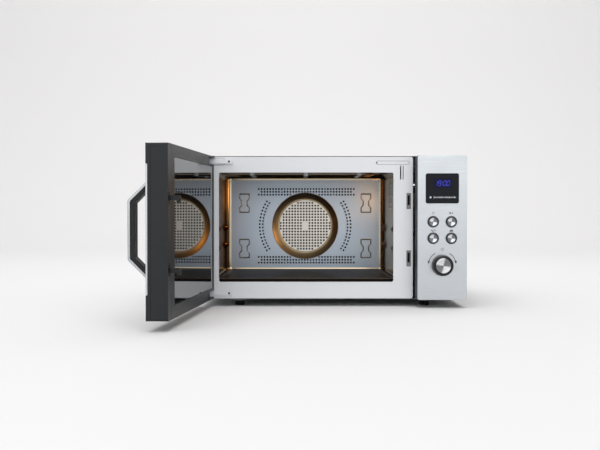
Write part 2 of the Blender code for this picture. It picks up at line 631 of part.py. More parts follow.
WAVEGUIDE_REACH = 72.0          # liner's side to the duct's end
WAVEGUIDE_WIDTH = 80.0
ANTENNA_FROM_LINER = 45.0
MAGNETRON_SIZE = (76.0, 68.0, 62.0)
TRANSFORMER_SIZE = (92.0, 60.0, 76.0)
TRANSFORMER_BEHIND = 92.0       # cavity's middle to the transformer's middle
CAPACITOR_HEIGHT = 88.0
FILTER_BOARD_DROP = 50.0        # cabinet's top to the board
FAN_DROP = 112.0                # cabinet's top to the cooling fan's axis
FAN_FROM_BACK = 45.0
FAN_HUB_RADIUS = 10.0
LAMP_DROP = 58.0                # cavity's ceiling to the lamp
LAMP_DEPTH = 192.0              # cavity's front to the lamp
CATCH_DEPTH = 30.0


def make_microwave_feed():
    """Magnetron, and the duct that leads to the stirrer well."""
    start = CAVITY_MIDDLE + WELL_RADIUS + 1.0
    end = SIDE_SPACE_LEFT + WAVEGUIDE_REACH
    half = WAVEGUIDE_WIDTH / 2
    low, high = WELL_FLOOR, CAVITY_FLOOR - LINER_WALL - GAP
    wall = 0.8
    guide = box("waveguide", (start, end), (FLOOR_MIDDLE - half, FLOOR_MIDDLE + half), (low, high),
                "stainless_steel")
    cut(guide, box("guide_inside", (start - 5, end - wall),
                   (FLOOR_MIDDLE - half + wall, FLOOR_MIDDLE + half - wall), (low + wall, high - wall)))
    antenna_x = SIDE_SPACE_LEFT + ANTENNA_FROM_LINER
    cut(guide, turned("antenna_hole", disc_profile(9, low + 4, high + 5), "up",
                      (antenna_x, FLOOR_MIDDLE, 0), steps=16))
    bottom = high + GAP
    width, depth, height = MAGNETRON_SIZE
    body = bevel(box("magnetron", (antenna_x - width / 2, antenna_x + width / 2),
                     (FLOOR_MIDDLE - depth / 2, FLOOR_MIDDLE + depth / 2), (bottom, bottom + height),
                     "galvanised_steel"), 1.5, 1)
    # cooling slots between the fins
    fins = [((antenna_x - 26, antenna_x + 26), (FLOOR_MIDDLE - 60, FLOOR_MIDDLE + 60), zs)
            for _, zs in slot_row(0, 0, bottom + 12, 5.0, 8.0, 5)]
    slots = boxes("magnetron_slots", fins)
    cut(body, slots)
    join(body, turned("magnetron_core", disc_profile(19, bottom + 5, bottom + height - 5), "up",
                      (antenna_x, FLOOR_MIDDLE, 0), steps=16))
    join(body, turned("antenna", disc_profile(7, low + 3, bottom + 6, 1.5), "up",
                      (antenna_x, FLOOR_MIDDLE, 0), steps=16))
    join(body, box("filter_box", (antenna_x - 25, antenna_x + 25), (FLOOR_MIDDLE - 20, FLOOR_MIDDLE + 20),
                   (bottom + height - 1, bottom + height + 18)))


def make_power():
    """Transformer and capacitor on the base, mains filter above them."""
    middle, low = SIDE_SPACE_MIDDLE, BASE + GAP
    y = FLOOR_MIDDLE + TRANSFORMER_BEHIND
    width, depth, height = TRANSFORMER_SIZE
    core = bevel(box("hv_transformer", (middle - width / 2, middle + width / 2),
                     (y - depth / 2, y + depth / 2), (low, low + height), "galvanised_steel"), 1.5, 1)
    windows = boxes("core_windows", [((middle - 30, middle - 14), (y - 50, y + 50), (low + 16, low + 60)),
                                     ((middle + 14, middle + 30), (y - 50, y + 50), (low + 16, low + 60))])
    cut(core, windows)
    for name, zs in (("winding_low", (low + 17, low + 37)), ("winding_high", (low + 39, low + 59))):
        join(core, bevel(box(name, (middle - 29, middle + 29), (y - 44, y + 44), zs), 3.0, 1))
    can_top = low + CAPACITOR_HEIGHT
    can = sheet("hv_capacitor", "xy", [rounded(middle - 26, middle + 26, 60, 92, 15.5, 5)],
                low, can_top, "aluminium")
    join(can, boxes("capacitor_tabs", [((middle - 12, middle - 8), (72, 80), (can_top - 1, can_top + 9)),
                                       ((middle + 8, middle + 12), (72, 80), (can_top - 1, can_top + 9))]))
    board_z = TOP - FILTER_BOARD_DROP
    board = box("filter_board", (middle - 45, middle + 45), (60, 150), (board_z, board_z + 1.6),
                "green_board")
    join(board, turned("filter_choke", disc_profile(15, board_z + 1, board_z + 20, 3), "up",
                       (middle - 20, 90, 0), steps=16))
    posts = [((x - 2, x + 2), (y - 2, y + 2), (board_z + 1, TOP - SHEET - GAP))
             for x in (middle - 42, middle + 42) for y in (63, 147)]
    join(board, boxes("board_hangers", posts))
    join(board, boxes("filter_parts", [
        ((middle + 5, middle + 35), (80, 95), (board_z + 1, board_z + 16)),
        ((middle - 35, middle + 5), (120, 134), (board_z + 1, board_z + 15))]))


SHROUD_MARGIN = 6.25            # cooling fan's shroud to the walls beside it


def make_cooling():
    """An axial fan and its motor in a shroud at the back."""
    x, z = SIDE_SPACE_MIDDLE, TOP - FAN_DROP
    front, back = BACK - FAN_FROM_BACK, BACK - SHEET - 2 * GAP
    half = x - SIDE_SPACE_LEFT - SHROUD_MARGIN
    reach = half - 15.0         # blade tips
    sheet("fan_shroud", "xz", [rounded(x - half, x + half, z - half, z + half, 8),
                               circle(x, z, reach + 3, 32)], front, front + 12, "black_plastic")
    axis = (x, 0, z)
    rotor = turned("cooling_fan", disc_profile(12, -front - 11, -front - 1), "front", axis,
                   "white_plastic", steps=16)
    for index in range(5):
        shape = bmesh.new()
        bmesh.ops.create_cube(shape, size=1.0, matrix=(
            Matrix.Rotation(index * 2 * math.pi / 5, 4, "Y")
            @ Matrix.Translation(((reach + FAN_HUB_RADIUS) / 2 * MM, 0, 0))
            @ Matrix.Rotation(math.radians(32), 4, "X")
            @ Matrix.Diagonal(((reach - FAN_HUB_RADIUS) * MM, 0.0015, 0.016, 1.0))))
        mesh = bpy.data.meshes.new("rotor_blade")
        shape.to_mesh(mesh)
        shape.free()
        join(rotor, place(f"rotor_blade_{index}", mesh, None, None, (x, front + 6, z)))
    join(rotor, turned("rotor_shaft", disc_profile(2.0, -front - 20, -front - 9, 0.2), "front", axis,
                       steps=12))
    motor_front = front + 12 + GAP
    motor = box("cooling_fan_motor", (x - half + 6, x + half - 6), (motor_front, motor_front + 3),
                (z - 7, z + 7), "galvanised_steel")
    join(motor, box("motor_body", (x - 22, x + 22), (motor_front + 2.9, back - 6), (z - 20, z + 20)))
    cut(motor, turned("rotor_bore", disc_profile(2.0 + GAP, -front - 22, -front - 5, 0.1), "front", axis,
                      steps=12))


def make_lamp():
    """The lamp shines through the perforated field in the right wall."""
    wall, y, z = SIDE_SPACE_LEFT + GAP, CAVITY_FRONT + LAMP_DEPTH, CAVITY_TOP - LAMP_DROP
    holder = box("lamp_holder", (wall, wall + 1.2), (y - 26, y + 26), (z - 26, z + 26),
                 "galvanised_steel")
    join(holder, turned("lamp_cup", disc_profile(15, -wall - 34, -wall - 20), "left", (0, y, z), steps=16))
    join(holder, boxes("holder_legs", [((wall + 1, wall + 30), (y - 18, y - 14), (z - 5, z + 5)),
                                       ((wall + 1, wall + 30), (y + 14, y + 18), (z - 5, z + 5))]))
    cut(holder, turned("lamp_window", disc_profile(13.5, -wall - 5, -wall + 5), "left", (0, y, z), steps=16))
    lamp = [(0, -wall - 2), (6, -wall - 3), (9, -wall - 7), (8, -wall - 13), (6, -wall - 17),
            (6, -wall - 19.7), (0, -wall - 19.7)]
    turned("cavity_lamp", lamp, "left", (0, y, z), "clear_glass", steps=16)


def make_interlock():
    """The hooks' catch block behind the front plate, and the three door switches."""
    x = HINGE_X + HOOK_X
    front, depth = PLATE_THICKNESS + GAP, CATCH_DEPTH
    (_, upper), (_, lower) = latch_slots()
    bracket = box("interlock_bracket", (x - 9.5, x + 9.5), (front, front + depth),
                  (lower[0] - 7, upper[1] + 7), "black_plastic")
    pockets = [((x - 6, x + 6), (front - 5, front + depth - 5), (low + 1, high - 1))
               for low, high in (upper, lower)]
    cut(bracket, boxes("hook_pockets", pockets))
    switch_front = front + depth + GAP
    heights = {"primary_switch": upper[0] + 20, "secondary_switch": lower[0] + 20,
               "monitor_switch": (upper[0] + lower[1]) / 2}
    for name, z in heights.items():
        switch = bevel(box(name, (x - 5.2, x + 5.2), (switch_front, switch_front + 16), (z - 14, z + 14),
                           "black_plastic"), 0.8, 1)
        join(switch, boxes(name + "_tabs", [((x - 3, x + 3), (switch_front + 15, switch_front + 22),
                                             (z + shift - 0.4, z + shift + 0.4)) for shift in (-8, 0, 8)]))


make_liner()
make_back()
make_floor()
make_stirrer()
make_grill()
make_convection()
make_microwave_feed()
make_power()
make_cooling()
make_lamp()
make_interlock()


# ---- control panel ----
BUTTONS = {
    "button_upper_left": (PANEL_MIDDLE - BUTTON_SPACING / 2, TOP - BUTTON_ROWS[0] * SPREAD),
    "button_upper_right": (PANEL_MIDDLE + BUTTON_SPACING / 2, TOP - BUTTON_ROWS[0] * SPREAD),
    "button_lower_left": (PANEL_MIDDLE - BUTTON_SPACING / 2, TOP - BUTTON_ROWS[1] * SPREAD),
    "button_lower_right": (PANEL_MIDDLE + BUTTON_SPACING / 2, TOP - BUTTON_ROWS[1] * SPREAD),
}
KNOB_Z = TOP - KNOB_DROP * SPREAD
DISPLAY_TOP = TOP - DISPLAY_DROP * SPREAD
FASCIA_BACK = PANEL_FACE + FASCIA_THICKNESS
HOUSING_FRONT = FASCIA_BACK + GAP
WALL_BACK = HOUSING_FRONT + HOUSING_WALL
BOARD_FRONT = WALL_BACK + 11.0
BUTTON_CLEARANCE = 0.4
KNOB_HOLE_RADIUS = 7.0


def display_outline(grow):
    return rounded(PANEL_MIDDLE - DISPLAY_WIDTH / 2 - grow, PANEL_MIDDLE + DISPLAY_WIDTH / 2 + grow,
                   DISPLAY_TOP - DISPLAY_HEIGHT - grow, DISPLAY_TOP + grow, 3.5 + grow)


def panel_holes(knob_radius):
    holes = [display_outline(0.25)]
    holes += [circle(x, z, BUTTON_RADIUS + BUTTON_CLEARANCE, 16) for x, z in BUTTONS.values()]
    holes.append(circle(PANEL_MIDDLE, KNOB_Z, knob_radius, 12))
    return holes


def make_panel():
    low, high = BASE + 0.2, TOP
    fascia = rounded(PANEL_LEFT + 1.5, RIGHT, low, high, 4.0)
    sheet("fascia", "xz", [fascia, *panel_holes(KNOB_HOLE_RADIUS)], PANEL_FACE, FASCIA_BACK, "brushed_steel")
    left, right = PANEL_LEFT, RIGHT - 0.4
    outer = rounded(left, right, low + 0.2, high - 0.2, 3.5)
    inner = rounded(left + HOUSING_WALL, right - HOUSING_WALL, low + HOUSING_WALL, high - HOUSING_WALL, 2.0)
    housing = sheet("panel_housing", "xz", [outer], HOUSING_FRONT, -GAP, "charcoal_plastic")
    cut(housing, sheet("housing_hollow", "xz", [inner], WALL_BACK, 5))
    cut(housing, sheet("housing_holes", "xz", panel_holes(KNOB_HOLE_RADIUS), HOUSING_FRONT - 5,
                       WALL_BACK + 1))
    # posts that carry the board
    posts = [((x - 3, x + 3), (WALL_BACK - 0.5, BOARD_FRONT - GAP), (z - 3, z + 3))
             for x in (left + 9, right - 9) for z in (low + 12, high - 12)]
    join(housing, boxes("board_posts", posts))
    sheet("display_window", "xz", [display_outline(0.0)], PANEL_FACE - 0.3, WALL_BACK - 0.5, "tinted_glass")
    board = box("control_board", (left + 5, right - 5), (BOARD_FRONT, BOARD_FRONT + 1.6),
                (low + 6, high - 6), "green_board")
    # the switches that the buttons press
    switches = [((x - 3, x + 3), (BOARD_FRONT - 2.5, BOARD_FRONT + 0.5), (z - 3, z + 3))
                for x, z in BUTTONS.values()]
    join(board, boxes("tact_switches", switches))
    bevel(box("display_module", (PANEL_MIDDLE - DISPLAY_WIDTH / 2 + 3, PANEL_MIDDLE + DISPLAY_WIDTH / 2 - 3),
              (WALL_BACK + GAP, BOARD_FRONT - GAP),
              (DISPLAY_TOP - DISPLAY_HEIGHT + 3, DISPLAY_TOP - 3), "black_plastic"), 0.8, 1)


def make_buttons():
    """Each cap has a flange behind the housing's front wall, and a stem to its switch."""
    face = -PANEL_FACE + BUTTON_STAND
    flange_front = -WALL_BACK - GAP
    stem_end = -(BOARD_FRONT - 2.5) + GAP + BUTTON_TRAVEL
    profile = [(0, face), (BUTTON_RADIUS - 0.9, face), (BUTTON_RADIUS, face - 0.9),
               (BUTTON_RADIUS, flange_front),
               (BUTTON_RADIUS + 1.2, flange_front), (BUTTON_RADIUS + 1.2, flange_front - 1.5),
               (3.0, flange_front - 1.5), (3.0, stem_end), (0, stem_end)]
    for name, (x, z) in BUTTONS.items():
        turned(name, profile, "front", (x, 0, z), "spun_metal", steps=16)


def make_knob():
    """A turned knob with a grip ring and a shallow metal face, on its shaft."""
    low = -PANEL_FACE + 0.8
    high = low + KNOB_HEIGHT
    shaft_end = -(BOARD_FRONT - 4.0)
    profile = [(0, high - 0.8), (KNOB_RADIUS - 6.4, high - 0.8), (KNOB_RADIUS - 6.0, high - 0.1),
               (KNOB_RADIUS - 4.8, high), (KNOB_RADIUS - 1.6, high - 0.6), (KNOB_RADIUS - 0.6, high - 2.0),
               (KNOB_RADIUS, low), (SHAFT_RADIUS, low), (SHAFT_RADIUS, shaft_end), (0, shaft_end)]
    turned("knob", profile, "front", (PANEL_MIDDLE, 0, KNOB_Z), "spun_metal", steps=24)
    encoder = box("encoder", (PANEL_MIDDLE - 6.5, PANEL_MIDDLE + 6.5), (WALL_BACK + 2.5, BOARD_FRONT - GAP),
                  (KNOB_Z - 6.5, KNOB_Z + 6.5), "galvanised_steel")
    bushing = turned("bushing", disc_profile(4.5, -WALL_BACK - 4, -WALL_BACK + 2.5, 0.3), "front",
                     (PANEL_MIDDLE, 0, KNOB_Z), steps=16)
    join(encoder, bushing)
    cut(encoder, turned("encoder_bore", disc_profile(SHAFT_RADIUS + GAP, shaft_end - 0.8, low, 0.1), "front",
                        (PANEL_MIDDLE, 0, KNOB_Z), steps=16))


make_panel()
make_buttons()
make_knob()


# ---- door, laid out closed round its hinge axis ----
door_axis = bpy.data.objects.new("door_axis", None)
bpy.context.scene.collection.objects.link(door_axis)
door_axis.location = Vector((HINGE_X, HINGE_Y, 0)) * MM
door_axis.rotation_euler = (0, 0, math.radians(-DOOR_ANGLE))

RAIL_WALL = 3.2                 # walls round the frame's hollow rails
RAIL_FLOOR = 5.0                # hollow's floor, as the door's Y
STILE_HOLLOW = (GLASS_FAR + RAIL_WALL, DOOR_FREE - RAIL_WALL)
LEVER_LOW = HOOK_HEIGHTS[1] - 14.0
LEVER_HIGH = HOOK_HEIGHTS[0] + 14.0
LEVER_BACK = -4.0
LEVER_FRONT = 2.0
SPRING_LENGTH = 22.0
SPRING_SEAT = LEVER_LOW - GAP - SPRING_LENGTH


def window_outline(grow, radius=4.0):
    return rounded(GLASS_NEAR - grow, GLASS_FAR + grow, GLASS_BOTTOM - grow, GLASS_TOP + grow, radius)


def make_door_frame():
    outline = rounded(DOOR_NEAR, DOOR_FREE, DOOR_BOTTOM, DOOR_TOP, 3.0)
    frame = sheet("door_frame", "xz", [outline, window_outline(-GLASS_LEDGE)], FRAME_OUTER, DOOR_INNER,
                  "charcoal_plastic", door_axis)
    # seats for the two panes
    glass_seat = DOOR_INNER - GLASS_THICKNESS - 0.6
    cut(frame, sheet("inner_seat", "xz", [window_outline(GAP)], glass_seat, DOOR_INNER + 5, None, door_axis))
    cut(frame, sheet("outer_seat", "xz", [window_outline(GAP)], FRAME_OUTER - 5,
                     FRAME_OUTER + GLASS_THICKNESS + GAP, None, door_axis))
    # hollow rails, open towards the steel front
    top_hollow = (GLASS_TOP + RAIL_WALL, DOOR_TOP - RAIL_WALL)
    bottom_hollow = (DOOR_BOTTOM + RAIL_WALL, GLASS_BOTTOM - RAIL_WALL)
    rail_ys = (FRAME_OUTER - 5, RAIL_FLOOR)
    rail_start = GLASS_NEAR + 6
    cut(frame, box("top_hollow", (rail_start, STILE_HOLLOW[0] - 2), rail_ys, top_hollow, None, door_axis))
    cut(frame, box("bottom_hollow", (rail_start, STILE_HOLLOW[0] - 2), rail_ys, bottom_hollow, None,
                   door_axis))
    cut(frame, box("stile_hollow", STILE_HOLLOW, rail_ys, (SPRING_SEAT, DOOR_TOP - 12), None, door_axis))
    # chamfer that lets the closed edge swing past the front plate
    reach = DOOR_CHAMFER * math.sqrt(2) / 2
    chamfer = box("edge_chamfer", (-20, 20), (-reach, 60), (DOOR_BOTTOM - 5, DOOR_TOP + 5), None, door_axis)
    chamfer.location = Vector((DOOR_NEAR, DOOR_INNER, (DOOR_BOTTOM + DOOR_TOP) / 2)) * MM
    chamfer.rotation_euler = (0, 0, math.radians(45))
    shift = Matrix.Translation(Vector((0, (60 + reach) / 2 - reach, 0)) * MM)
    chamfer.data.transform(shift)
    cut(frame, chamfer)
    for name, zs in (("upper_pocket", UPPER_POCKET), ("lower_pocket", LOWER_POCKET)):
        cut(frame, box(name, (DOOR_NEAR - 5, 8), (-10, DOOR_INNER + 5), zs, None, door_axis))
        cut(frame, box(name + "_arm", (7, 54), (7.5, DOOR_INNER + 5), zs, None, door_axis))
    for name, ends in (("upper_pin_hole", (UPPER_POCKET[0] - PIN_DEPTH, DOOR_TOP + 5)),
                       ("lower_pin_hole", (DOOR_BOTTOM - 5, LOWER_POCKET[1] + PIN_DEPTH))):
        cut(frame, turned(name, disc_profile(SHAFT_RADIUS + GAP, *ends, 0.1), "up", (0, 0, 0), None,
                          door_axis, steps=16))
    slots = [((HOOK_X - HOOK_THICKNESS / 2 - 1, HOOK_X + HOOK_THICKNESS / 2 + 1), (0, DOOR_INNER + 5),
              (height - HOOK_HEIGHT / 2 - 1.5, height + HOOK_HEIGHT / 2 + LATCH_TRAVEL + 1))
             for height in HOOK_HEIGHTS]
    cut(frame, boxes("hook_slots", slots, None, door_axis))
    # a shallow panel in the free edge
    cut(frame, box("edge_panel", (DOOR_FREE - 0.8, DOOR_FREE + 5), (FRAME_OUTER + 6, DOOR_INNER - 6),
                   (DOOR_BOTTOM + 5, DOOR_TOP - 5), None, door_axis))


def make_door_panes():
    inner_back = DOOR_INNER - GLASS_THICKNESS - 0.3
    sheet("inner_glass", "xz", [window_outline(0)], inner_back, inner_back + GLASS_THICKNESS,
          "tinted_glass", door_axis)
    sheet("outer_glass", "xz", [window_outline(0)], FRAME_OUTER, FRAME_OUTER + GLASS_THICKNESS,
          "tinted_glass", door_axis)
    screen_front = inner_back - 2 * GAP
    sheet("mesh_screen", "xz", [window_outline(-GLASS_LEDGE - GAP, 3.5)], screen_front - 0.8, screen_front,
          "black_painted_steel", door_axis)
    skin = rounded(DOOR_NEAR + 0.3, DOOR_FREE - 0.3, DOOR_BOTTOM, DOOR_TOP, 3.0)
    sheet("door_skin", "xz", [skin, window_outline(-14, 6.0)], DOOR_OUTER, DOOR_OUTER + SKIN_THICKNESS,
          "brushed_steel", door_axis)


def handle_path(inset):
    """The handle's side outline, inset from its outer faces: (Y, Z) from bottom to top."""
    slope = (HANDLE_LENGTH - HANDLE_GRIP) / 2 / HANDLE_REACH
    along = math.sqrt(1 + slope * slope)
    reach = HANDLE_REACH - inset
    foot = HANDLE_LENGTH / 2 - inset * along
    grip = foot - slope * reach
    out = DOOR_OUTER - reach
    return [(DOOR_OUTER - GAP, HANDLE_Z - foot), (out, HANDLE_Z - grip),
            (out, HANDLE_Z + grip), (DOOR_OUTER - GAP, HANDLE_Z + foot)]


def make_handle():
    for name, start, thickness, width, finish in (
            ("handle_bar", 0.0, HANDLE_STRAP, HANDLE_WIDTH, "aluminium"),
            ("handle_liner", HANDLE_STRAP + GAP, HANDLE_LINER, HANDLE_WIDTH - 2.0, "black_plastic")):
        band = handle_path(start) + list(reversed(handle_path(start + thickness)))
        bevel(sheet(name, "yz", [band], HANDLE_X - width / 2, HANDLE_X + width / 2, finish, door_axis),
              0.8, 1)


def make_latch():
    """A sliding plate with two hooks that reach through the frame, and its spring."""
    half = HOOK_THICKNESS / 2
    lever = box("latch_lever", (HOOK_X - half, HOOK_X + half), (LEVER_BACK, LEVER_FRONT),
                (LEVER_LOW, LEVER_HIGH), "black_plastic", door_axis)
    tip = DOOR_INNER + HOOK_REACH
    for index, height in enumerate(HOOK_HEIGHTS):
        low, high = height - HOOK_HEIGHT / 2, height + HOOK_HEIGHT / 2
        outline = [(LEVER_FRONT - 1, low + 4), (tip - 8, low + 4), (tip - 8, low), (tip - 3, low),
                   (tip, low + 5), (tip - 3, high), (LEVER_FRONT - 1, high)]
        join(lever, sheet(f"hook_{index}", "yz", [outline], HOOK_X - half + 0.01, HOOK_X + half - 0.01,
                          None, door_axis))
    turns, radius, wire = 5, 1.9, 0.4
    count = turns * 6
    low, high = SPRING_SEAT + GAP + wire, LEVER_LOW - GAP - wire
    middle_y = (LEVER_BACK + LEVER_FRONT) / 2
    coil = [(HOOK_X + radius * math.cos(math.pi / 3 * i), middle_y + radius * math.sin(math.pi / 3 * i),
             low + (high - low) * i / count) for i in range(count + 1)]
    tube("latch_spring", coil, wire, "galvanised_steel", door_axis)


make_door_frame()
make_door_panes()
make_handle()
make_latch()


def stand_on_origin():
    """Move the whole oven so that its origin is at the middle of its base."""
    bpy.context.view_layer.update()
    depsgraph = bpy.context.evaluated_depsgraph_get()
    corners = []
    for obj in parts.objects:
        mesh = obj.evaluated_get(depsgraph).to_mesh()
        corners += [obj.matrix_world @ vertex.co for vertex in mesh.vertices]
    lowest = Vector([min(corner[axis] for corner in corners) for axis in range(3)])
    highest = Vector([max(corner[axis] for corner in corners) for axis in range(3)])
    shift = Vector(((lowest.x + highest.x) / 2, (lowest.y + highest.y) / 2, lowest.z))
    for obj in bpy.context.scene.collection.all_objects:
        if obj.parent is None:
            obj.location -= shift
    print("moved by", [round(value, 6) for value in -shift])


stand_on_origin()
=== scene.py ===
import json
import math

import bmesh
import bpy
from mathutils import Matrix, Vector


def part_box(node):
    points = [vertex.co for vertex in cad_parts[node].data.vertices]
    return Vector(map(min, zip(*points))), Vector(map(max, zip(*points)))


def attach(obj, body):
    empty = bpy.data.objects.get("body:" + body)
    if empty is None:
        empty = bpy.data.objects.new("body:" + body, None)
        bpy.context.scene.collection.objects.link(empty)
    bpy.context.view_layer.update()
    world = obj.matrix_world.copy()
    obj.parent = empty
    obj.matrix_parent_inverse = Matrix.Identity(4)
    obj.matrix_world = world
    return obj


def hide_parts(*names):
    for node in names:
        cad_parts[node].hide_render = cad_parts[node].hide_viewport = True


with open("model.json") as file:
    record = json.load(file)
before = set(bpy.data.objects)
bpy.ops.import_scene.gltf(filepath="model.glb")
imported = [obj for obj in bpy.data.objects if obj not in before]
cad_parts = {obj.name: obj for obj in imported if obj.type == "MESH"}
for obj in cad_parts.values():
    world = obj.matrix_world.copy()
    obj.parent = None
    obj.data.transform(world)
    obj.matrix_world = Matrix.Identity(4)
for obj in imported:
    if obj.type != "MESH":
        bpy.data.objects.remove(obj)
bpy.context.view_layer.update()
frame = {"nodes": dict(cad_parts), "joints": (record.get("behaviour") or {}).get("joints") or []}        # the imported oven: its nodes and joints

mm = 0.001
axisX, axisY, axisZ = Vector((1, 0, 0)), Vector((0, 1, 0)), Vector((0, 0, 1))
print("frame loaded:", len(frame["nodes"]), "nodes")


# small helpers

# an sRGB hex colour as the linear values that Blender's sockets take
def hexColour(text):
    channels = [int(text[i:i + 2], 16) / 255 for i in (0, 2, 4)]
    linear = [c / 12.92 if c <= 0.04045 else ((c + 0.055) / 1.055) ** 2.4 for c in channels]
    return (*linear, 1.0)


def addNode(tree, kind, inputs=None, **settings):
    node = tree.nodes.new(kind)
    for key, value in settings.items():
        setattr(node, key, value)
    for key, value in (inputs or {}).items():
        socket = node.inputs[key]
        if isinstance(value, bpy.types.NodeSocket):
            tree.links.new(value, socket)
        else:
            socket.default_value = value
    return node


def middleOf(node):
    low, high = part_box(node)
    return (low + high) / 2


def smoothShade(mesh, angle=40):
    mesh.shade_smooth()
    mesh.set_sharp_from_angle(angle=math.radians(angle))


# flat shading on broad flat faces, so that they mirror straight; bends stay smooth
def flattenBroad(mesh, least=4e-5):
    areas = {}
    keys = []
    for face in mesh.polygons:
        key = (*[round(c, 2) for c in face.normal], round(face.normal.dot(face.center), 5))
        keys.append(key)
        areas[key] = areas.get(key, 0) + face.area
    for face, key in zip(mesh.polygons, keys):
        if areas[key] > least:
            face.use_smooth = False


def linked(name, data):
    obj = bpy.data.objects.new(name, data)
    bpy.context.scene.collection.objects.link(obj)
    return obj


def withMaterial(mesh, material):
    mesh.materials.clear()
    mesh.materials.append(material)
    return mesh


def meshObject(name, mesh, material):
    return linked(name, withMaterial(mesh, material))


# the shape's faces as a mesh; the shape is given up
def meshOf(shape, name):
    mesh = bpy.data.meshes.new(name)
    shape.to_mesh(mesh)
    shape.free()
    return mesh


# a curve's mesh with its doubles merged and its faces turned outwards
def cleaned(mesh):
    shape = bmesh.new()
    shape.from_mesh(mesh)
    bmesh.ops.remove_doubles(shape, verts=shape.verts, dist=2e-6)
    bmesh.ops.recalc_face_normals(shape, faces=shape.faces)
    shape.to_mesh(mesh)
    shape.free()
    smoothShade(mesh)
    return mesh


# the object's mesh with its modifiers, in world space; the object is removed
def evaluatedMesh(obj, name):
    bpy.context.view_layer.update()
    mesh = bpy.data.meshes.new_from_object(obj.evaluated_get(bpy.context.evaluated_depsgraph_get()))
    mesh.transform(obj.matrix_world)
    mesh.name = name
    bpy.data.objects.remove(obj)
    return mesh


# several meshes as one object; their own materials are kept if they have them
def joinMeshes(name, meshes, material):
    shape = bmesh.new()
    materials = []
    for mesh in meshes:
        own = mesh.materials[0] if mesh.materials and mesh.materials[0] else material
        if own not in materials:
            materials.append(own)
        for face in mesh.polygons:
            face.material_index = 0
        start = len(shape.faces)
        shape.from_mesh(mesh)
        shape.faces.ensure_lookup_table()
        for face in shape.faces[start:]:
            face.material_index = materials.index(own)
    joined = meshOf(shape, name)
    for own in materials:
        joined.materials.append(own)
    obj = linked(name, joined)
    return obj


# hand a finished piece over: what it moves with, its finish's slot, which is not used, and what it stands
# for
def settle(obj, body, slot, *nodes):
    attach(obj, body)
    if nodes:
        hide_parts(*nodes)
    return obj


# outlines are lists of (u, v) points in metres, anticlockwise

def roundedRect(lowU, highU, lowV, highV, radius, steps=8):
    points = []
    for u, v, start in ((highU, lowV, -90), (highU, highV, 0), (lowU, highV, 90), (lowU, lowV, 180)):
        centreU = u - math.copysign(radius, u - (lowU + highU) / 2)
        centreV = v - math.copysign(radius, v - (lowV + highV) / 2)
        for step in range(steps + 1):
            angle = math.radians(start + 90 * step / steps)
            points.append((centreU + radius * math.cos(angle), centreV + radius * math.sin(angle)))
    return points


def circlePoints(u, v, radius, count=48):
    return [(u + radius * math.cos(2 * math.pi * i / count), v + radius * math.sin(2 * math.pi * i / count))
            for i in range(count)]


# the outline with each corner rounded by an arc
def filleted(points, radius, steps=6, closed=True):
    result = []
    count = len(points)
    for i in range(count):
        here = Vector(points[i])
        if not closed and i in (0, count - 1):
            result.append(tuple(here))
            continue
        before, after = Vector(points[i - 1]) - here, Vector(points[(i + 1) % count]) - here
        turn = before.angle(after)
        reach = min(radius / math.tan(turn / 2), before.length * 0.45, after.length * 0.45)
        real = reach * math.tan(turn / 2)
        bisector = (before.normalized() + after.normalized()).normalized()
        centre = here + bisector * math.hypot(reach, real)
        first, last = here + before.normalized() * reach - centre, here + after.normalized() * reach - centre
        sweep = first.angle_signed(last)
        for step in range(steps + 1):
            angle = -sweep * step / steps
            result.append((centre.x + first.x * math.cos(angle) - first.y * math.sin(angle),
                           centre.y + first.x * math.sin(angle) + first.y * math.cos(angle)))
    return result


planes = {               # how an outline's (u, v, thickness) stand in the oven's frame
    "front": Matrix(((1, 0, 0, 0), (0, 0, -1, 0), (0, 1, 0, 0), (0, 0, 0, 1))),
    "side": Matrix(((0, 0, 1, 0), (1, 0, 0, 0), (0, 1, 0, 0), (0, 0, 0, 1))),
    "top": Matrix.Identity(4),
}


def outlineCurve(name, outlines):
    curve = bpy.data.curves.new(name, "CURVE")
    curve.dimensions = "2D"
    curve.fill_mode = "BOTH"
    for outline in outlines:
        spline = curve.splines.new("POLY")
        spline.points.add(len(outline) - 1)
        for point, (u, v) in zip(spline.points, outline):
            point.co = (u, v, 0, 1)
        spline.use_cyclic_u = True
    return curve


# a sheet with its first outline as its rim and the others as holes, edges rounded
def sheetMesh(name, plane, outlines, low, high, edge=0.0, edgeSteps=2):
    curve = outlineCurve(name, outlines)
    curve.extrude = (high - low) / 2 - edge
    curve.bevel_depth = edge
    curve.bevel_resolution = edgeSteps
    curve.offset = -edge
    obj = linked(name, curve)
    sign = -1 if plane == "front" else 1
    obj.matrix_world = planes[plane] @ Matrix.Translation((0, 0, sign * (low + high) / 2))
    mesh = cleaned(evaluatedMesh(obj, name))
    flattenBroad(mesh)
    return mesh


# a profile of (radius, height) points spun round an axis through the centre
def spunMesh(name, profile, axis, centre, steps=64, ring=False):
    shape = bmesh.new()
    verts = [shape.verts.new((radius, 0, height)) for radius, height in profile]
    pairs = list(zip(verts, verts[1:])) + ([(verts[-1], verts[0])] if ring else [])
    edges = [shape.edges.new(pair) for pair in pairs]
    bmesh.ops.spin(shape, geom=verts + edges, axis=(0, 0, 1), cent=(0, 0, 0), steps=steps,
                   angle=2 * math.pi, use_merge=True)
    bmesh.ops.remove_doubles(shape, verts=shape.verts, dist=2e-6)
    bmesh.ops.recalc_face_normals(shape, faces=shape.faces)
    turn = axisZ.rotation_difference(Vector(axis)).to_matrix().to_4x4()
    shape.transform(Matrix.Translation(centre) @ turn)
    mesh = meshOf(shape, name)
    smoothShade(mesh)
    return mesh


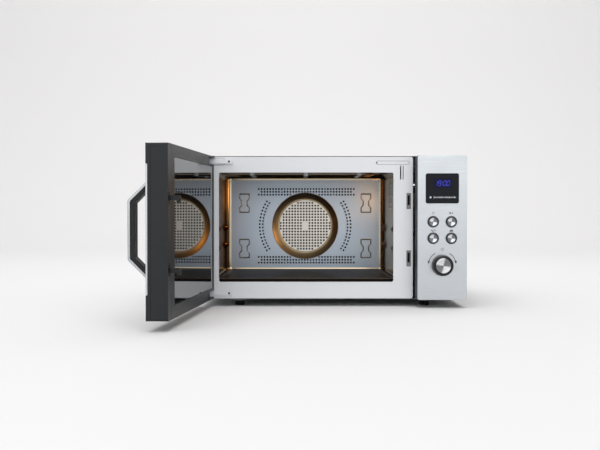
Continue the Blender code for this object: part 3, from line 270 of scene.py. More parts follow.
# a block with rounded edges, between two corners
def blockMesh(name, low, high, edge=0.0005, segments=2, turn=None):
    shape = bmesh.new()
    size = Vector(high) - Vector(low)
    bmesh.ops.create_cube(shape, size=1.0, matrix=Matrix.Diagonal((*size, 1.0)))
    bmesh.ops.bevel(shape, geom=shape.edges[:], offset=edge, segments=segments, profile=0.5,
                    affect="EDGES", clamp_overlap=True)
    place = Matrix.Translation((Vector(low) + Vector(high)) / 2)
    shape.transform(place @ turn if turn else place)
    mesh = meshOf(shape, name)
    smoothShade(mesh)
    flattenBroad(mesh)
    return mesh


# a round wire or rod through smooth points
def rodMesh(name, points, radius, closed=False, sides=4):
    curve = bpy.data.curves.new(name, "CURVE")
    curve.dimensions = "3D"
    curve.bevel_depth = radius
    curve.bevel_resolution = sides
    curve.use_fill_caps = not closed
    spline = curve.splines.new("POLY")
    spline.points.add(len(points) - 1)
    for point, place in zip(spline.points, points):
        point.co = (*place, 1)
    spline.use_cyclic_u = closed
    obj = linked(name, curve)
    return cleaned(evaluatedMesh(obj, name))


# a copy of a CAD node's mesh, cut and with its sharp edges rounded as pressed or moulded ones are
def softened(name, node, edge, segments=2, cutters=(), angle=50):
    shape = bmesh.new()
    shape.from_mesh(frame["nodes"][node].data)
    bmesh.ops.remove_doubles(shape, verts=shape.verts, dist=1e-6)
    bmesh.ops.dissolve_limit(shape, angle_limit=math.radians(1), verts=shape.verts, edges=shape.edges)
    mesh = meshOf(shape, name)
    mesh.materials.clear()
    obj = linked(name, mesh)
    tools = []
    for cutter in cutters:
        tools.append(linked("cutter", cutter))
        cutting = obj.modifiers.new("cutting", "BOOLEAN")
        cutting.operation = "DIFFERENCE"
        cutting.object = tools[-1]
    rounding = obj.modifiers.new("rounding", "BEVEL")
    rounding.width = edge
    rounding.segments = segments
    rounding.limit_method = "ANGLE"
    rounding.angle_limit = math.radians(angle)
    rounding.use_clamp_overlap = True
    mesh = evaluatedMesh(obj, name)
    mesh.materials.clear()
    for tool in tools:
        bpy.data.objects.remove(tool)
    smoothShade(mesh, 45)
    flattenBroad(mesh)
    return mesh


# finishes, each one what the real surface is, except where light or shade is painted into its colour

# a Principled finish; the noise and bump of each surface are added by its own function
def newFinish(name, colour, roughness, metallic=0.0, **sockets):
    material = bpy.data.materials.new(name)
    material.use_nodes = True
    tree = material.node_tree
    shader = tree.nodes["Principled BSDF"]
    shader.inputs["Base Color"].default_value = hexColour(colour)
    shader.inputs["Roughness"].default_value = roughness
    shader.inputs["Metallic"].default_value = metallic
    for key, value in sockets.items():
        shader.inputs[key.replace("_", " ")].default_value = value
    return material, tree, shader


# noise on object coordinates whose grains are size metres, longer where stretch is small
def grainNoise(tree, size, stretch=(1, 1, 1), detail=3.0):
    place = addNode(tree, "ShaderNodeTexCoord")
    scaled = addNode(tree, "ShaderNodeMapping", {"Vector": place.outputs["Object"],
                                                 "Scale": Vector(stretch) / size})
    return addNode(tree, "ShaderNodeTexNoise", {"Vector": scaled.outputs["Vector"], "Scale": 1.0,
                                                "Detail": detail}).outputs["Fac"]


# how a pattern shows on a finish: between two colours, between two roughnesses, or as relief
def dress(tree, shader, pattern, colours=None, roughness=None, relief=None):
    if colours:
        mix = addNode(tree, "ShaderNodeMix", {"Factor": pattern, "A": hexColour(colours[0]),
                                              "B": hexColour(colours[1])}, data_type="RGBA")
        tree.links.new(mix.outputs["Result"], shader.inputs["Base Color"])
    if roughness:
        gloss = addNode(tree, "ShaderNodeMapRange", {"Value": pattern, "From Min": 0.3, "From Max": 0.7,
                                                     "To Min": roughness[0], "To Max": roughness[1]})
        tree.links.new(gloss.outputs["Result"], shader.inputs["Roughness"])
    if relief:
        bump = addNode(tree, "ShaderNodeBump", {"Height": pattern, "Distance": relief[0],
                                                "Strength": relief[1]})
        tree.links.new(bump.outputs["Normal"], shader.inputs["Normal"])


# stainless sheet brushed one way with a belt: fine streaks that widen the highlights across
def brushedSteelFinish(name, colour, along, roughness=0.3, second=None):
    material, tree, shader = newFinish(name, colour, roughness, 1.0, Anisotropic=0.55)
    # belt marks are about 0.2 mm apart; drawn at 0.7 mm so that they show
    stretch = [1.0 if axis != along else 0.012 for axis in range(3)]
    streaks = grainNoise(tree, 0.7 * mm, stretch, 2.0)
    dress(tree, shader, streaks, (colour, second or colour), (roughness * 0.8, roughness * 1.25),
          (0.01 * mm, 0.35))
    return material


# cold-rolled stainless inside the cavity: near-mirror, with faint cloudy heat tints
def rolledSteelFinish(name, colour, second, roughness, wave=0.12):
    material, tree, shader = newFinish(name, colour, roughness, 1.0, Specular_Tint=hexColour(colour))
    dress(tree, shader, grainNoise(tree, 60 * mm, (1, 1, 1), 2.0), (colour, second))
    dress(tree, shader, grainNoise(tree, 1.2 * mm, (1, 1, 0.25), 2.0),
          roughness=(roughness * 0.92, roughness * 1.1))
    dress(tree, shader, grainNoise(tree, 45 * mm, (1, 1, 1), 0.0), relief=(wave * mm, 0.25))
    return material


# baked paint on sheet steel: a soft gloss with a slight orange peel
def enamelPaintFinish(name, colour, roughness, orangePeel=0.02):
    material, tree, shader = newFinish(name, colour, roughness, 0.0, Coat_Weight=0.25, Coat_Roughness=0.2)
    peel = grainNoise(tree, 1.6 * mm, (1, 1, 1), 2.0)
    dress(tree, shader, peel, None, (roughness * 0.85, roughness * 1.15), (orangePeel * mm, 0.5))
    return material


# injection-moulded ABS with a fine spark-eroded texture
def mouldedPlasticFinish(name, colour, second, roughness, texture=0.5):
    material, tree, shader = newFinish(name, colour, roughness, 0.0, IOR=1.53, Specular_IOR_Level=0.3)
    dress(tree, shader, grainNoise(tree, texture * mm, (1, 1, 1), 2.0), None,
          (roughness * 0.85, roughness * 1.15), (0.03 * mm, 0.5))
    dress(tree, shader, grainNoise(tree, 45 * mm, (1, 1, 1), 2.0), (colour, second))
    return material


# hot-dip zinc on sheet steel, with its spangle of grey crystals
def galvanisedFinish():
    material, tree, shader = newFinish("galvanised sheet", "A3A6A9", 0.45, 0.9)
    place = addNode(tree, "ShaderNodeTexCoord")
    spangle = addNode(tree, "ShaderNodeTexVoronoi", {"Vector": place.outputs["Object"],
                                                     "Scale": 1 / (11 * mm)})
    crystal = addNode(tree, "ShaderNodeMapRange", {"Value": spangle.outputs["Color"], "From Min": 0.3,
                                                   "From Max": 0.7})
    dress(tree, shader, crystal.outputs["Result"], ("ACAFB2", "9DA0A3"), (0.42, 0.5))
    return material


# polished glass-ceramic: almost black brown, mirror gloss, a trace of long waviness
def glassCeramicFinish():
    material, tree, shader = newFinish("glass ceramic", "15100D", 0.4, 0.0, IOR=1.54,
                                       Specular_IOR_Level=0.02)
    dress(tree, shader, grainNoise(tree, 40 * mm, (1, 1, 1), 1.0), ("1D150F", "140E0A"), None,
          (0.05 * mm, 0.3))
    return material


# grey-tinted float glass, polished; seen is the share that passes, coat its reflective film
def floatGlassFinish(name, colour, seen, coat=0.0):
    material, tree, shader = newFinish(name, colour, 0.015, 0.0, IOR=1.52, Transmission_Weight=seen,
                                       Coat_Weight=coat, Coat_IOR=1.9, Coat_Roughness=0.01)
    dress(tree, shader, grainNoise(tree, 90 * mm, (1, 1, 1), 0.0), relief=(0.06 * mm, 0.15))
    return material


# black-painted steel punched with 1.3 mm holes on a 2 mm pitch; drawn as paint and dark dots of painted
# shade for the holes
def screenFinish():
    material, tree, shader = newFinish("painted choke screen", "1B1D1F", 0.5, 0.3)
    place = addNode(tree, "ShaderNodeTexCoord")
    holes = addNode(tree, "ShaderNodeTexVoronoi", {"Vector": place.outputs["Object"],
                                                   "Scale": 1 / (2.2 * mm), "Randomness": 0.0})
    edge = addNode(tree, "ShaderNodeMapRange", {"Value": holes.outputs["Distance"], "From Min": 0.42,
                                                "From Max": 0.5})
    dress(tree, shader, edge.outputs["Result"], ("050506", "3A3D40"))
    return material


# aluminium faced on a lathe: fine rings round the axis give the bow-tie highlight, and light and dark
# sectors in its colour add a painted bow-tie highlight
def spunAluminiumFinish(name, centre, axis, colour, paintedShade, roughness):
    material, tree, shader = newFinish(name, colour, roughness, 1.0, Anisotropic=0.85)
    place = addNode(tree, "ShaderNodeTexCoord")
    fromCentre = addNode(tree, "ShaderNodeMapping", {"Vector": place.outputs["Object"],
                                                     "Location": -Vector(centre)})
    around = addNode(tree, "ShaderNodeVectorMath", operation="CROSS_PRODUCT")
    tree.links.new(fromCentre.outputs["Vector"], around.inputs[1])
    around.inputs[0].default_value = axis
    tangent = addNode(tree, "ShaderNodeVectorMath", {0: around.outputs["Vector"]}, operation="NORMALIZE")
    tree.links.new(tangent.outputs["Vector"], shader.inputs["Tangent"])
    # painted highlight: two lighter and two darker sectors in the colour stand for the bow-tie of light on
    # the turned face
    outward = addNode(tree, "ShaderNodeVectorMath", {0: fromCentre.outputs["Vector"]}, operation="NORMALIZE")
    along = addNode(tree, "ShaderNodeVectorMath", {0: outward.outputs["Vector"], 1: (-0.55, 0.0, 0.83)},
                    operation="DOT_PRODUCT")
    paintedBowTieSquare = addNode(tree, "ShaderNodeMath", {0: along.outputs["Value"], 1: along.outputs["Value"]},
                     operation="MULTIPLY")
    paintedBowTie = addNode(tree, "ShaderNodeMapRange", {"Value": paintedBowTieSquare.outputs["Value"], "From Min": 0.3,
                                                   "From Max": 0.7})
    dress(tree, shader, paintedBowTie.outputs["Result"], (paintedShade, colour))
    far = addNode(tree, "ShaderNodeVectorMath", {0: fromCentre.outputs["Vector"]}, operation="LENGTH")
    # tool marks are 0.15 mm apart; drawn at 0.5 mm so that they show
    marks = addNode(tree, "ShaderNodeMath", {0: far.outputs["Value"], 1: 1 / (0.5 * mm)},
                    operation="MULTIPLY")
    rings = addNode(tree, "ShaderNodeTexNoise", {"W": marks.outputs["Value"], "Scale": 1.0},
                    noise_dimensions="1D")
    dress(tree, shader, rings.outputs["Fac"], roughness=(roughness * 0.7, roughness * 1.3))
    return material


# a lit surface
def glowFinish(name, colour, strength):
    material, tree, shader = newFinish(name, colour, 0.4)
    shader.inputs["Emission Color"].default_value = hexColour(colour)
    shader.inputs["Emission Strength"].default_value = strength
    return material


finishes = {
    "brushedFascia": brushedSteelFinish("brushed stainless fascia", "CACED2", 0, 0.34, "C0C5C9"),
    "brushedDoor": brushedSteelFinish("brushed stainless door", "D0D1D3", 2, 0.3, "C6C7C9"),
    "backWall": rolledSteelFinish("rolled stainless back wall", "AEBCCB", "BCC4CC", 0.36),
    # painted light: the disc is a brighter, warmer copy of the back wall's stainless
    "disc": rolledSteelFinish("stainless disc painted bright as lit", "E0DED8", "D6D2CA", 0.36),
    "liner": rolledSteelFinish("rolled stainless liner", "C2BDB4", "B2AA9D", 0.22, 0.3),
    # painted reflection: the ring's bronze stands for the warm cavity mirrored in its slope
    "ringSteel": rolledSteelFinish("pressed stainless ring with painted bronze reflection", "A3947C", "AE9468", 0.3),
    # painted highlight: the beads round the covers are a lighter copy of the wall's stainless
    "coverRim": rolledSteelFinish("pressed stainless bead with painted highlight", "D2CFC8", "C3BFB6", 0.22),
    # painted light: the left wall's golden brown stands for the warm lamp's light and reflections on it, and
    # the right wall is painted lighter; both walls are the same stainless
    "leftWall": rolledSteelFinish("stainless liner painted golden as lamp-lit", "8C6434", "74502A", 0.2, 0.3),
    "rightWall": rolledSteelFinish("stainless liner painted bright as lit", "EBE8E2", "DDD8CF", 0.3, 0.3),
    # painted reflection: the bend's golden brown stands for the warm, lamp-lit cavity mirrored in its curve
    "cove": rolledSteelFinish("drawn stainless bend with painted golden reflection", "C4B69E", "AE9E84", 0.16),
    "frontPaint": enamelPaintFinish("pale silver enamel", "DFE1E5", 0.32),
    # painted shade: a darker copy of the pale enamel for the pressed beads
    "beadShade": enamelPaintFinish("enamel with painted shade on a bead", "A8ABB0", 0.4),
    "wrapPaint": enamelPaintFinish("satin black enamel", "1D1E20", 0.42, 0.04),
    "zinc": galvanisedFinish(),
    # painted shade: the fan chamber and fan are near black, partly heat stain and partly shade seen through
    # the holes
    "darkZinc": rolledSteelFinish("chamber steel with heat stain and painted shade", "15120F", "0E0C0A", 0.6),
    "fanSteel": rolledSteelFinish("fan steel with heat stain and painted shade", "2A2622", "1E1B18", 0.45),
    "screwSteel": rolledSteelFinish("zinc-plated screw", "C3C5C7", "AEB0B2", 0.3),
    "charcoal": mouldedPlasticFinish("charcoal ABS", "1B1F22", "15181B", 0.42),
    "panelDark": mouldedPlasticFinish("dark grey ABS", "24282B", "1C2022", 0.45),
    "black": mouldedPlasticFinish("black ABS", "111213", "0B0B0C", 0.38),
    # painted shade: a near-black sheet behind the back wall's holes
    "lagging": mouldedPlasticFinish("black painted shadow sheet", "060505", "030303", 0.95, 1.5),
    "rubber": mouldedPlasticFinish("black rubber", "161616", "0F0F0F", 0.8, 0.8),
    "greyPlastic": mouldedPlasticFinish("grey acetal", "85888B", "75787B", 0.4),
    "whitePlastic": mouldedPlasticFinish("natural nylon", "D9D6CC", "CFCBBF", 0.5),
    "ceramic": glassCeramicFinish(),
    "rimLine": newFinish("fired grey enamel line", "6A6157", 0.25)[0],
    "darkGlass": floatGlassFinish("smoked float glass", "111316", 0.2, 0.22),
    "lampGlass": floatGlassFinish("clear lamp glass", "F2EEE4", 1.0),
    "screen": screenFinish(),
    "handleMetal": brushedSteelFinish("satin anodised aluminium", "BDBFC2", 2, 0.24, "B2B4B7"),
    "aluminium": brushedSteelFinish("mill aluminium", "C9CACC", 1, 0.35, "BDBEC0"),
    "heaterSheath": rolledSteelFinish("heat-stained heater sheath", "978C7E", "6E665C", 0.35),
    "circuitBoard": mouldedPlasticFinish("green circuit board", "1F5C35", "174A2A", 0.45, 1.5),
    "displayAcrylic": newFinish("gloss black acrylic", "0B1016", 0.05, 0.0,
                                Specular_IOR_Level=0.12)[0],
    "printGrey": newFinish("screen-printed grey ink", "3C3F43", 0.6)[0],
    "printPale": newFinish("screen-printed pale ink", "D3DAE0", 0.6)[0],
    "digits": glowFinish("blue display light", "262FB8", 0.7),
    "litField": newFinish("unlit display field", "0B0D2C", 0.12, 0.0, Specular_IOR_Level=0.1)[0],
    "darkChrome": rolledSteelFinish("dark chromed cap", "55585C", "4A4D51", 0.22),
    "knobGrip": mouldedPlasticFinish("gloss black knob", "17181A", "101113", 0.25, 0.8),
}
print("finishes ready:", len(finishes))


# camera, floor and light

studio = {
    "cameraBack": 1.980,     # from the front plate
    "cameraFromMiddle": -0.0652,
    "cameraHeight": 0.1927,
    "tiltDown": 0.866,       # degrees
    "lens": 59.56,
    "floorColour": "F0EFEF",
    "worldLight": 1.5,
    "lowLight": 1.0,
    "sideLight": 0.15,
    "tentSides": (0.12, 0.6),
    "clothSeen": 0.86,
}


def makeStudio():
    scene = bpy.context.scene
    wrapLow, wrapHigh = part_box("outer_wrap")
    camera = linked("camera", bpy.data.cameras.new("camera"))
    camera.data.lens = studio["lens"]
    camera.data.sensor_width = 36.0
    camera.data.clip_end = 50
    camera.location = ((wrapLow.x + wrapHigh.x) / 2 + studio["cameraFromMiddle"],
                       wrapLow.y - studio["cameraBack"], studio["cameraHeight"])
    camera.rotation_euler = (math.radians(90 - studio["tiltDown"]), 0, 0)
    scene.camera = camera
    # a seamless sweep: floor, a wide bend and a back wall
    bend, far, wide = 1.2, 2.6, 7.0
    profile = [(-7.0, 0.0), (far, 0.0)]
    profile += [(far + bend * math.sin(a), bend - bend * math.cos(a))
                for a in [math.radians(7.5 * step) for step in range(1, 13)]]
    profile.append((far + bend, 5.0))
    shape = bmesh.new()
    rows = [[shape.verts.new((x, y, z)) for y, z in profile] for x in (-wide, wide)]
    for i in range(len(profile) - 1):
        shape.faces.new((rows[0][i], rows[1][i], rows[1][i + 1], rows[0][i + 1]))
    mesh = meshOf(shape, "studio_sweep")
    mesh.shade_smooth()
    paper, _, _ = newFinish("white studio paper", studio["floorColour"], 0.9)
    meshObject("studio_sweep", mesh, paper)
    scene.view_settings.view_transform = "Standard"     # whites stay white, as in a catalogue picture
    world = bpy.data.worlds.new("studio light")
    scene.world = world
    world.use_nodes = True
    # a light tent: bright overhead, falling off to both sides so that metal shows its shape
    tree = world.node_tree
    background = tree.nodes["Background"]
    background.inputs["Color"].default_value = hexColour("FFFFFF")
    where = addNode(tree, "ShaderNodeSeparateXYZ", {
        "Vector": addNode(tree, "ShaderNodeTexCoord").outputs["Generated"]})
    aside = addNode(tree, "ShaderNodeMath", {0: where.outputs["X"]}, operation="ABSOLUTE")
    sides = addNode(tree, "ShaderNodeMapRange", {
        "Value": aside.outputs["Value"], "From Min": studio["tentSides"][0],
        "From Max": studio["tentSides"][1], "To Min": 1.0, "To Max": studio["sideLight"]},
        interpolation_type="SMOOTHSTEP")
    above = addNode(tree, "ShaderNodeMapRange", {
        "Value": where.outputs["Z"], "From Min": -0.1, "From Max": 0.8,
        "To Min": studio["lowLight"], "To Max": studio["worldLight"]}, interpolation_type="SMOOTHSTEP")
    both = addNode(tree, "ShaderNodeMath", {0: sides.outputs["Result"], 1: above.outputs["Result"]},
                   operation="MULTIPLY")
    # beyond the sweep the tent's cloth itself is seen, plain white
    path = addNode(tree, "ShaderNodeLightPath")
    seen = addNode(tree, "ShaderNodeMix", {"Factor": path.outputs["Is Camera Ray"],
                                           "A": both.outputs["Value"], "B": studio["clothSeen"]})
    tree.links.new(seen.outputs["Result"], background.inputs["Strength"])


def areaLight(name, place, target, size, power, colour="FFFFFF", sizeY=None):
    light = bpy.data.lights.new(name, "AREA")
    light.shape = "RECTANGLE"
    light.size = size
    light.size_y = sizeY or size
    light.energy = power
    light.color = hexColour(colour)[:3]
    obj = linked(name, light)
    obj.location = place
    obj.rotation_euler = (Vector(target) - Vector(place)).to_track_quat("-Z", "Y").to_euler()
    return obj


makeStudio()
areaLight("overhead softbox", (0, -0.5, 2.4), (0, 0, 0.15), 2.2, 11)
areaLight("front softbox", (0.9, -2.8, 1.3), (-0.1, 0, 0.15), 2.4, 15)
areaLight("left softbox", (-1.7, -2.2, 1.0), (0, 0, 0.15), 1.8, 14)
areaLight("backdrop light", (0, 1.4, 2.8), (0, 3.6, 0.6), 3.0, 24)
lampLow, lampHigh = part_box("cavity_lamp")
areaLight("oven lamp", (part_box("cavity_liner")[1].x - 4 * mm, (lampLow.y + lampHigh.y) / 2,
                        (lampLow.z + lampHigh.z) / 2),
          (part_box("cavity_liner")[0].x, (lampLow.y + lampHigh.y) / 2, lampLow.z - 40 * mm),
          60 * mm, 0.1, "FFB765", 55 * mm)
print("studio ready")


# geometry node trees: each makes what repeats from the points of the object it is on

def newTree(name, inputs):
    tree = bpy.data.node_groups.new(name, "GeometryNodeTree")
    tree.interface.new_socket("Geometry", in_out="INPUT", socket_type="NodeSocketGeometry")
    for label, kind in inputs:
        tree.interface.new_socket(label, in_out="INPUT", socket_type=kind)
    tree.interface.new_socket("Geometry", in_out="OUTPUT", socket_type="NodeSocketGeometry")
    return tree, tree.nodes.new("NodeGroupInput"), tree.nodes.new("NodeGroupOutput")


# the tree run on the points, as a plain mesh
def grown(tree, points, name):
    mesh = bpy.data.meshes.new(name)
    mesh.from_pydata([tuple(point) for point in points["places"]], [], [])
    obj = linked(name, mesh)
    modifier = obj.modifiers.new("grow", "NODES")
    modifier.node_group = tree
    for item in tree.interface.items_tree:
        if item.in_out == "INPUT" and item.name in points:
            modifier[item.identifier] = points[item.name]
    bpy.context.view_layer.update()
    result = bpy.data.meshes.new_from_object(obj.evaluated_get(bpy.context.evaluated_depsgraph_get()))
    bpy.data.objects.remove(obj)
    result.materials.clear()
    result.materials.append(points["Material"])
    result.polygons.foreach_set("material_index", [0] * len(result.polygons))
    return result


# a flat sheet with a round hole at every point and cut to an outline object
def punchedSheetTree():
    tree, start, end = newTree("punched sheet", [
        ("Outline", "NodeSocketObject"), ("Hole Radius", "NodeSocketFloat"),
        ("Hole Sides", "NodeSocketInt"), ("Thickness", "NodeSocketFloat"),
        ("Material", "NodeSocketMaterial")])
    hole = addNode(tree, "GeometryNodeCurvePrimitiveCircle", {
        "Radius": start.outputs["Hole Radius"], "Resolution": start.outputs["Hole Sides"]})
    holes = addNode(tree, "GeometryNodeInstanceOnPoints", {
        "Points": start.outputs["Geometry"], "Instance": hole.outputs["Curve"]})
    flatHoles = addNode(tree, "GeometryNodeRealizeInstances", {"Geometry": holes.outputs["Instances"]})
    outline = addNode(tree, "GeometryNodeObjectInfo", {"Object": start.outputs["Outline"]})
    rims = addNode(tree, "GeometryNodeMeshToCurve", {"Mesh": outline.outputs["Geometry"]})
    both = addNode(tree, "GeometryNodeJoinGeometry")
    tree.links.new(flatHoles.outputs["Geometry"], both.inputs["Geometry"])
    tree.links.new(rims.outputs["Curve"], both.inputs["Geometry"])
    filled = addNode(tree, "GeometryNodeFillCurve", {"Curve": both.outputs["Geometry"]})
    raised = addNode(tree, "GeometryNodeExtrudeMesh", {
        "Mesh": filled.outputs["Mesh"], "Offset Scale": start.outputs["Thickness"], "Individual": False})
    under = addNode(tree, "GeometryNodeFlipFaces", {"Mesh": filled.outputs["Mesh"]})
    closed = addNode(tree, "GeometryNodeJoinGeometry")
    tree.links.new(raised.outputs["Mesh"], closed.inputs["Geometry"])
    tree.links.new(under.outputs["Mesh"], closed.inputs["Geometry"])
    merged = addNode(tree, "GeometryNodeMergeByDistance", {
        "Geometry": closed.outputs["Geometry"], "Distance": 1e-6})
    real = addNode(tree, "GeometryNodeRealizeInstances", {"Geometry": merged.outputs["Geometry"]})
    finished = addNode(tree, "GeometryNodeSetMaterial", {
        "Geometry": real.outputs["Geometry"], "Material": start.outputs["Material"]})
    tree.links.new(finished.outputs["Geometry"], end.inputs["Geometry"])
    return tree


# copies of a small object stood at every point, such as screws or louvres
def scatteredTree():
    tree, start, end = newTree("scattered copies", [
        ("Copy", "NodeSocketObject"), ("Turn", "NodeSocketVector"), ("Material", "NodeSocketMaterial")])
    copy = addNode(tree, "GeometryNodeObjectInfo", {"Object": start.outputs["Copy"]})
    turn = addNode(tree, "FunctionNodeEulerToRotation", {"Euler": start.outputs["Turn"]})
    copies = addNode(tree, "GeometryNodeInstanceOnPoints", {
        "Points": start.outputs["Geometry"], "Instance": copy.outputs["Geometry"],
        "Rotation": turn.outputs["Rotation"]})
    real = addNode(tree, "GeometryNodeRealizeInstances", {"Geometry": copies.outputs["Instances"]})
    finished = addNode(tree, "GeometryNodeSetMaterial", {
        "Geometry": real.outputs["Geometry"], "Material": start.outputs["Material"]})
    tree.links.new(finished.outputs["Geometry"], end.inputs["Geometry"])
    return tree


punchedSheet = punchedSheetTree()
scattered = scatteredTree()


# a punched sheet between two depths: outlines as for sheetMesh, places as (u, v)
def punchedMesh(name, plane, outlines, places, radius, low, high, material, sides=12):
    corners, edges = [], []
    for outline in outlines:
        first = len(corners)
        corners += [(u, v, 0) for u, v in outline]
        edges += [(first + i, first + (i + 1) % len(outline)) for i in range(len(outline))]
    rims = bpy.data.meshes.new(name + "_outline")
    rims.from_pydata(corners, edges, [])
    cutter = linked(name + "_outline", rims)
    mesh = grown(punchedSheet, {
        "places": [(u, v, 0) for u, v in places], "Outline": cutter, "Hole Radius": radius,
        "Hole Sides": sides, "Thickness": high - low, "Material": material}, name)
    bpy.data.objects.remove(cutter)
    base = -high if plane == "front" else low
    mesh.transform(planes[plane] @ Matrix.Translation((0, 0, base)))
    return mesh


# a copy of the small mesh at every place
def copiesMesh(name, mesh, places, turn, material):
    small = linked(name + "_copy", mesh)
    result = grown(scattered, {"places": places, "Copy": small, "Turn": Vector(turn),
                               "Material": material}, name)
    bpy.data.objects.remove(small)
    smoothShade(result)
    return result


# cavity: back wall, walls, ceramic plate, grill and lamp

linerLow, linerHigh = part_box("cavity_liner")
wallLow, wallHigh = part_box("cavity_back")
ringMiddle = middleOf("convection_fan")

backWall = {
    "sheet": 0.8 * mm,
    "holeRadius": 2.3 * mm,
    "pitch": 6.76 * mm,
    "discRadius": 59 * mm,
    "ringRadii": (76.2 * mm, 62.25 * mm),
    "bandRows": (86.4 * mm, 79.8 * mm, 73.0 * mm),
    "bandStart": -109 * mm,      # from the ring's middle
    "bandCount": 34,
    "arcRadii": (106.7 * mm, 99.4 * mm),
    "arcSpread": 32.5,           # degrees above and below the middle
    "arcCount": 16,
    "coverOff": (142.5 * mm, 53.2 * mm),
    "coverSize": (25.6 * mm, 45.7 * mm),
    "cove": 11.5 * mm,
}


# the waisted outline of a rack-mount cover
def coverOutline(u, v, shrink=0.0, radius=1.8 * mm):
    wide, tall = backWall["coverSize"][0] / 2, backWall["coverSize"][1] / 2
    half = [(wide, -tall), (wide, -tall * 0.48), (wide * 0.62, -tall * 0.22),
            (wide * 0.62, tall * 0.22), (wide, tall * 0.48), (wide, tall)]
    points = half + [(-x, y) for x, y in reversed(half)]
    points = [(x - math.copysign(shrink, x), y - math.copysign(shrink, y) * (abs(y) > tall * 0.9))
              for x, y in points]
    return filleted([(u + x, v + y) for x, y in points], radius, 5)


# the round bend all the way round the back wall, from the walls into it
def coveMesh():
    corner, radius, steps = 13 * mm, backWall["cove"], 10
    thick = backWall["sheet"]
    low = linerLow + Vector((thick, 0, thick))
    high = linerHigh - Vector((thick, 0, thick))
    end = wallLow.y - 0.05 * mm
    shape = bmesh.new()
    rows = []
    stations = [(radius * (1 - math.cos(math.pi / 2 * i / steps)), end - radius * (1 - math.sin(
        math.pi / 2 * i / steps))) for i in range(steps + 1)] + [(0.0, end)]
    for inset, y in stations:
        outline = roundedRect(low.x + inset, high.x - inset, low.z + inset, high.z - inset,
                              max(corner - inset, 1.2 * mm), 8)
        rows.append([shape.verts.new((u, y, v)) for u, v in outline])
    for first, second in zip(rows, rows[1:] + rows[:1]):
        for i in range(len(first)):
            after = (i + 1) % len(first)
            shape.faces.new((first[i], first[after], second[after], second[i]))
    bmesh.ops.recalc_face_normals(shape, faces=shape.faces)
    mesh = meshOf(shape, "cove")
    smoothShade(mesh, 50)
    return mesh


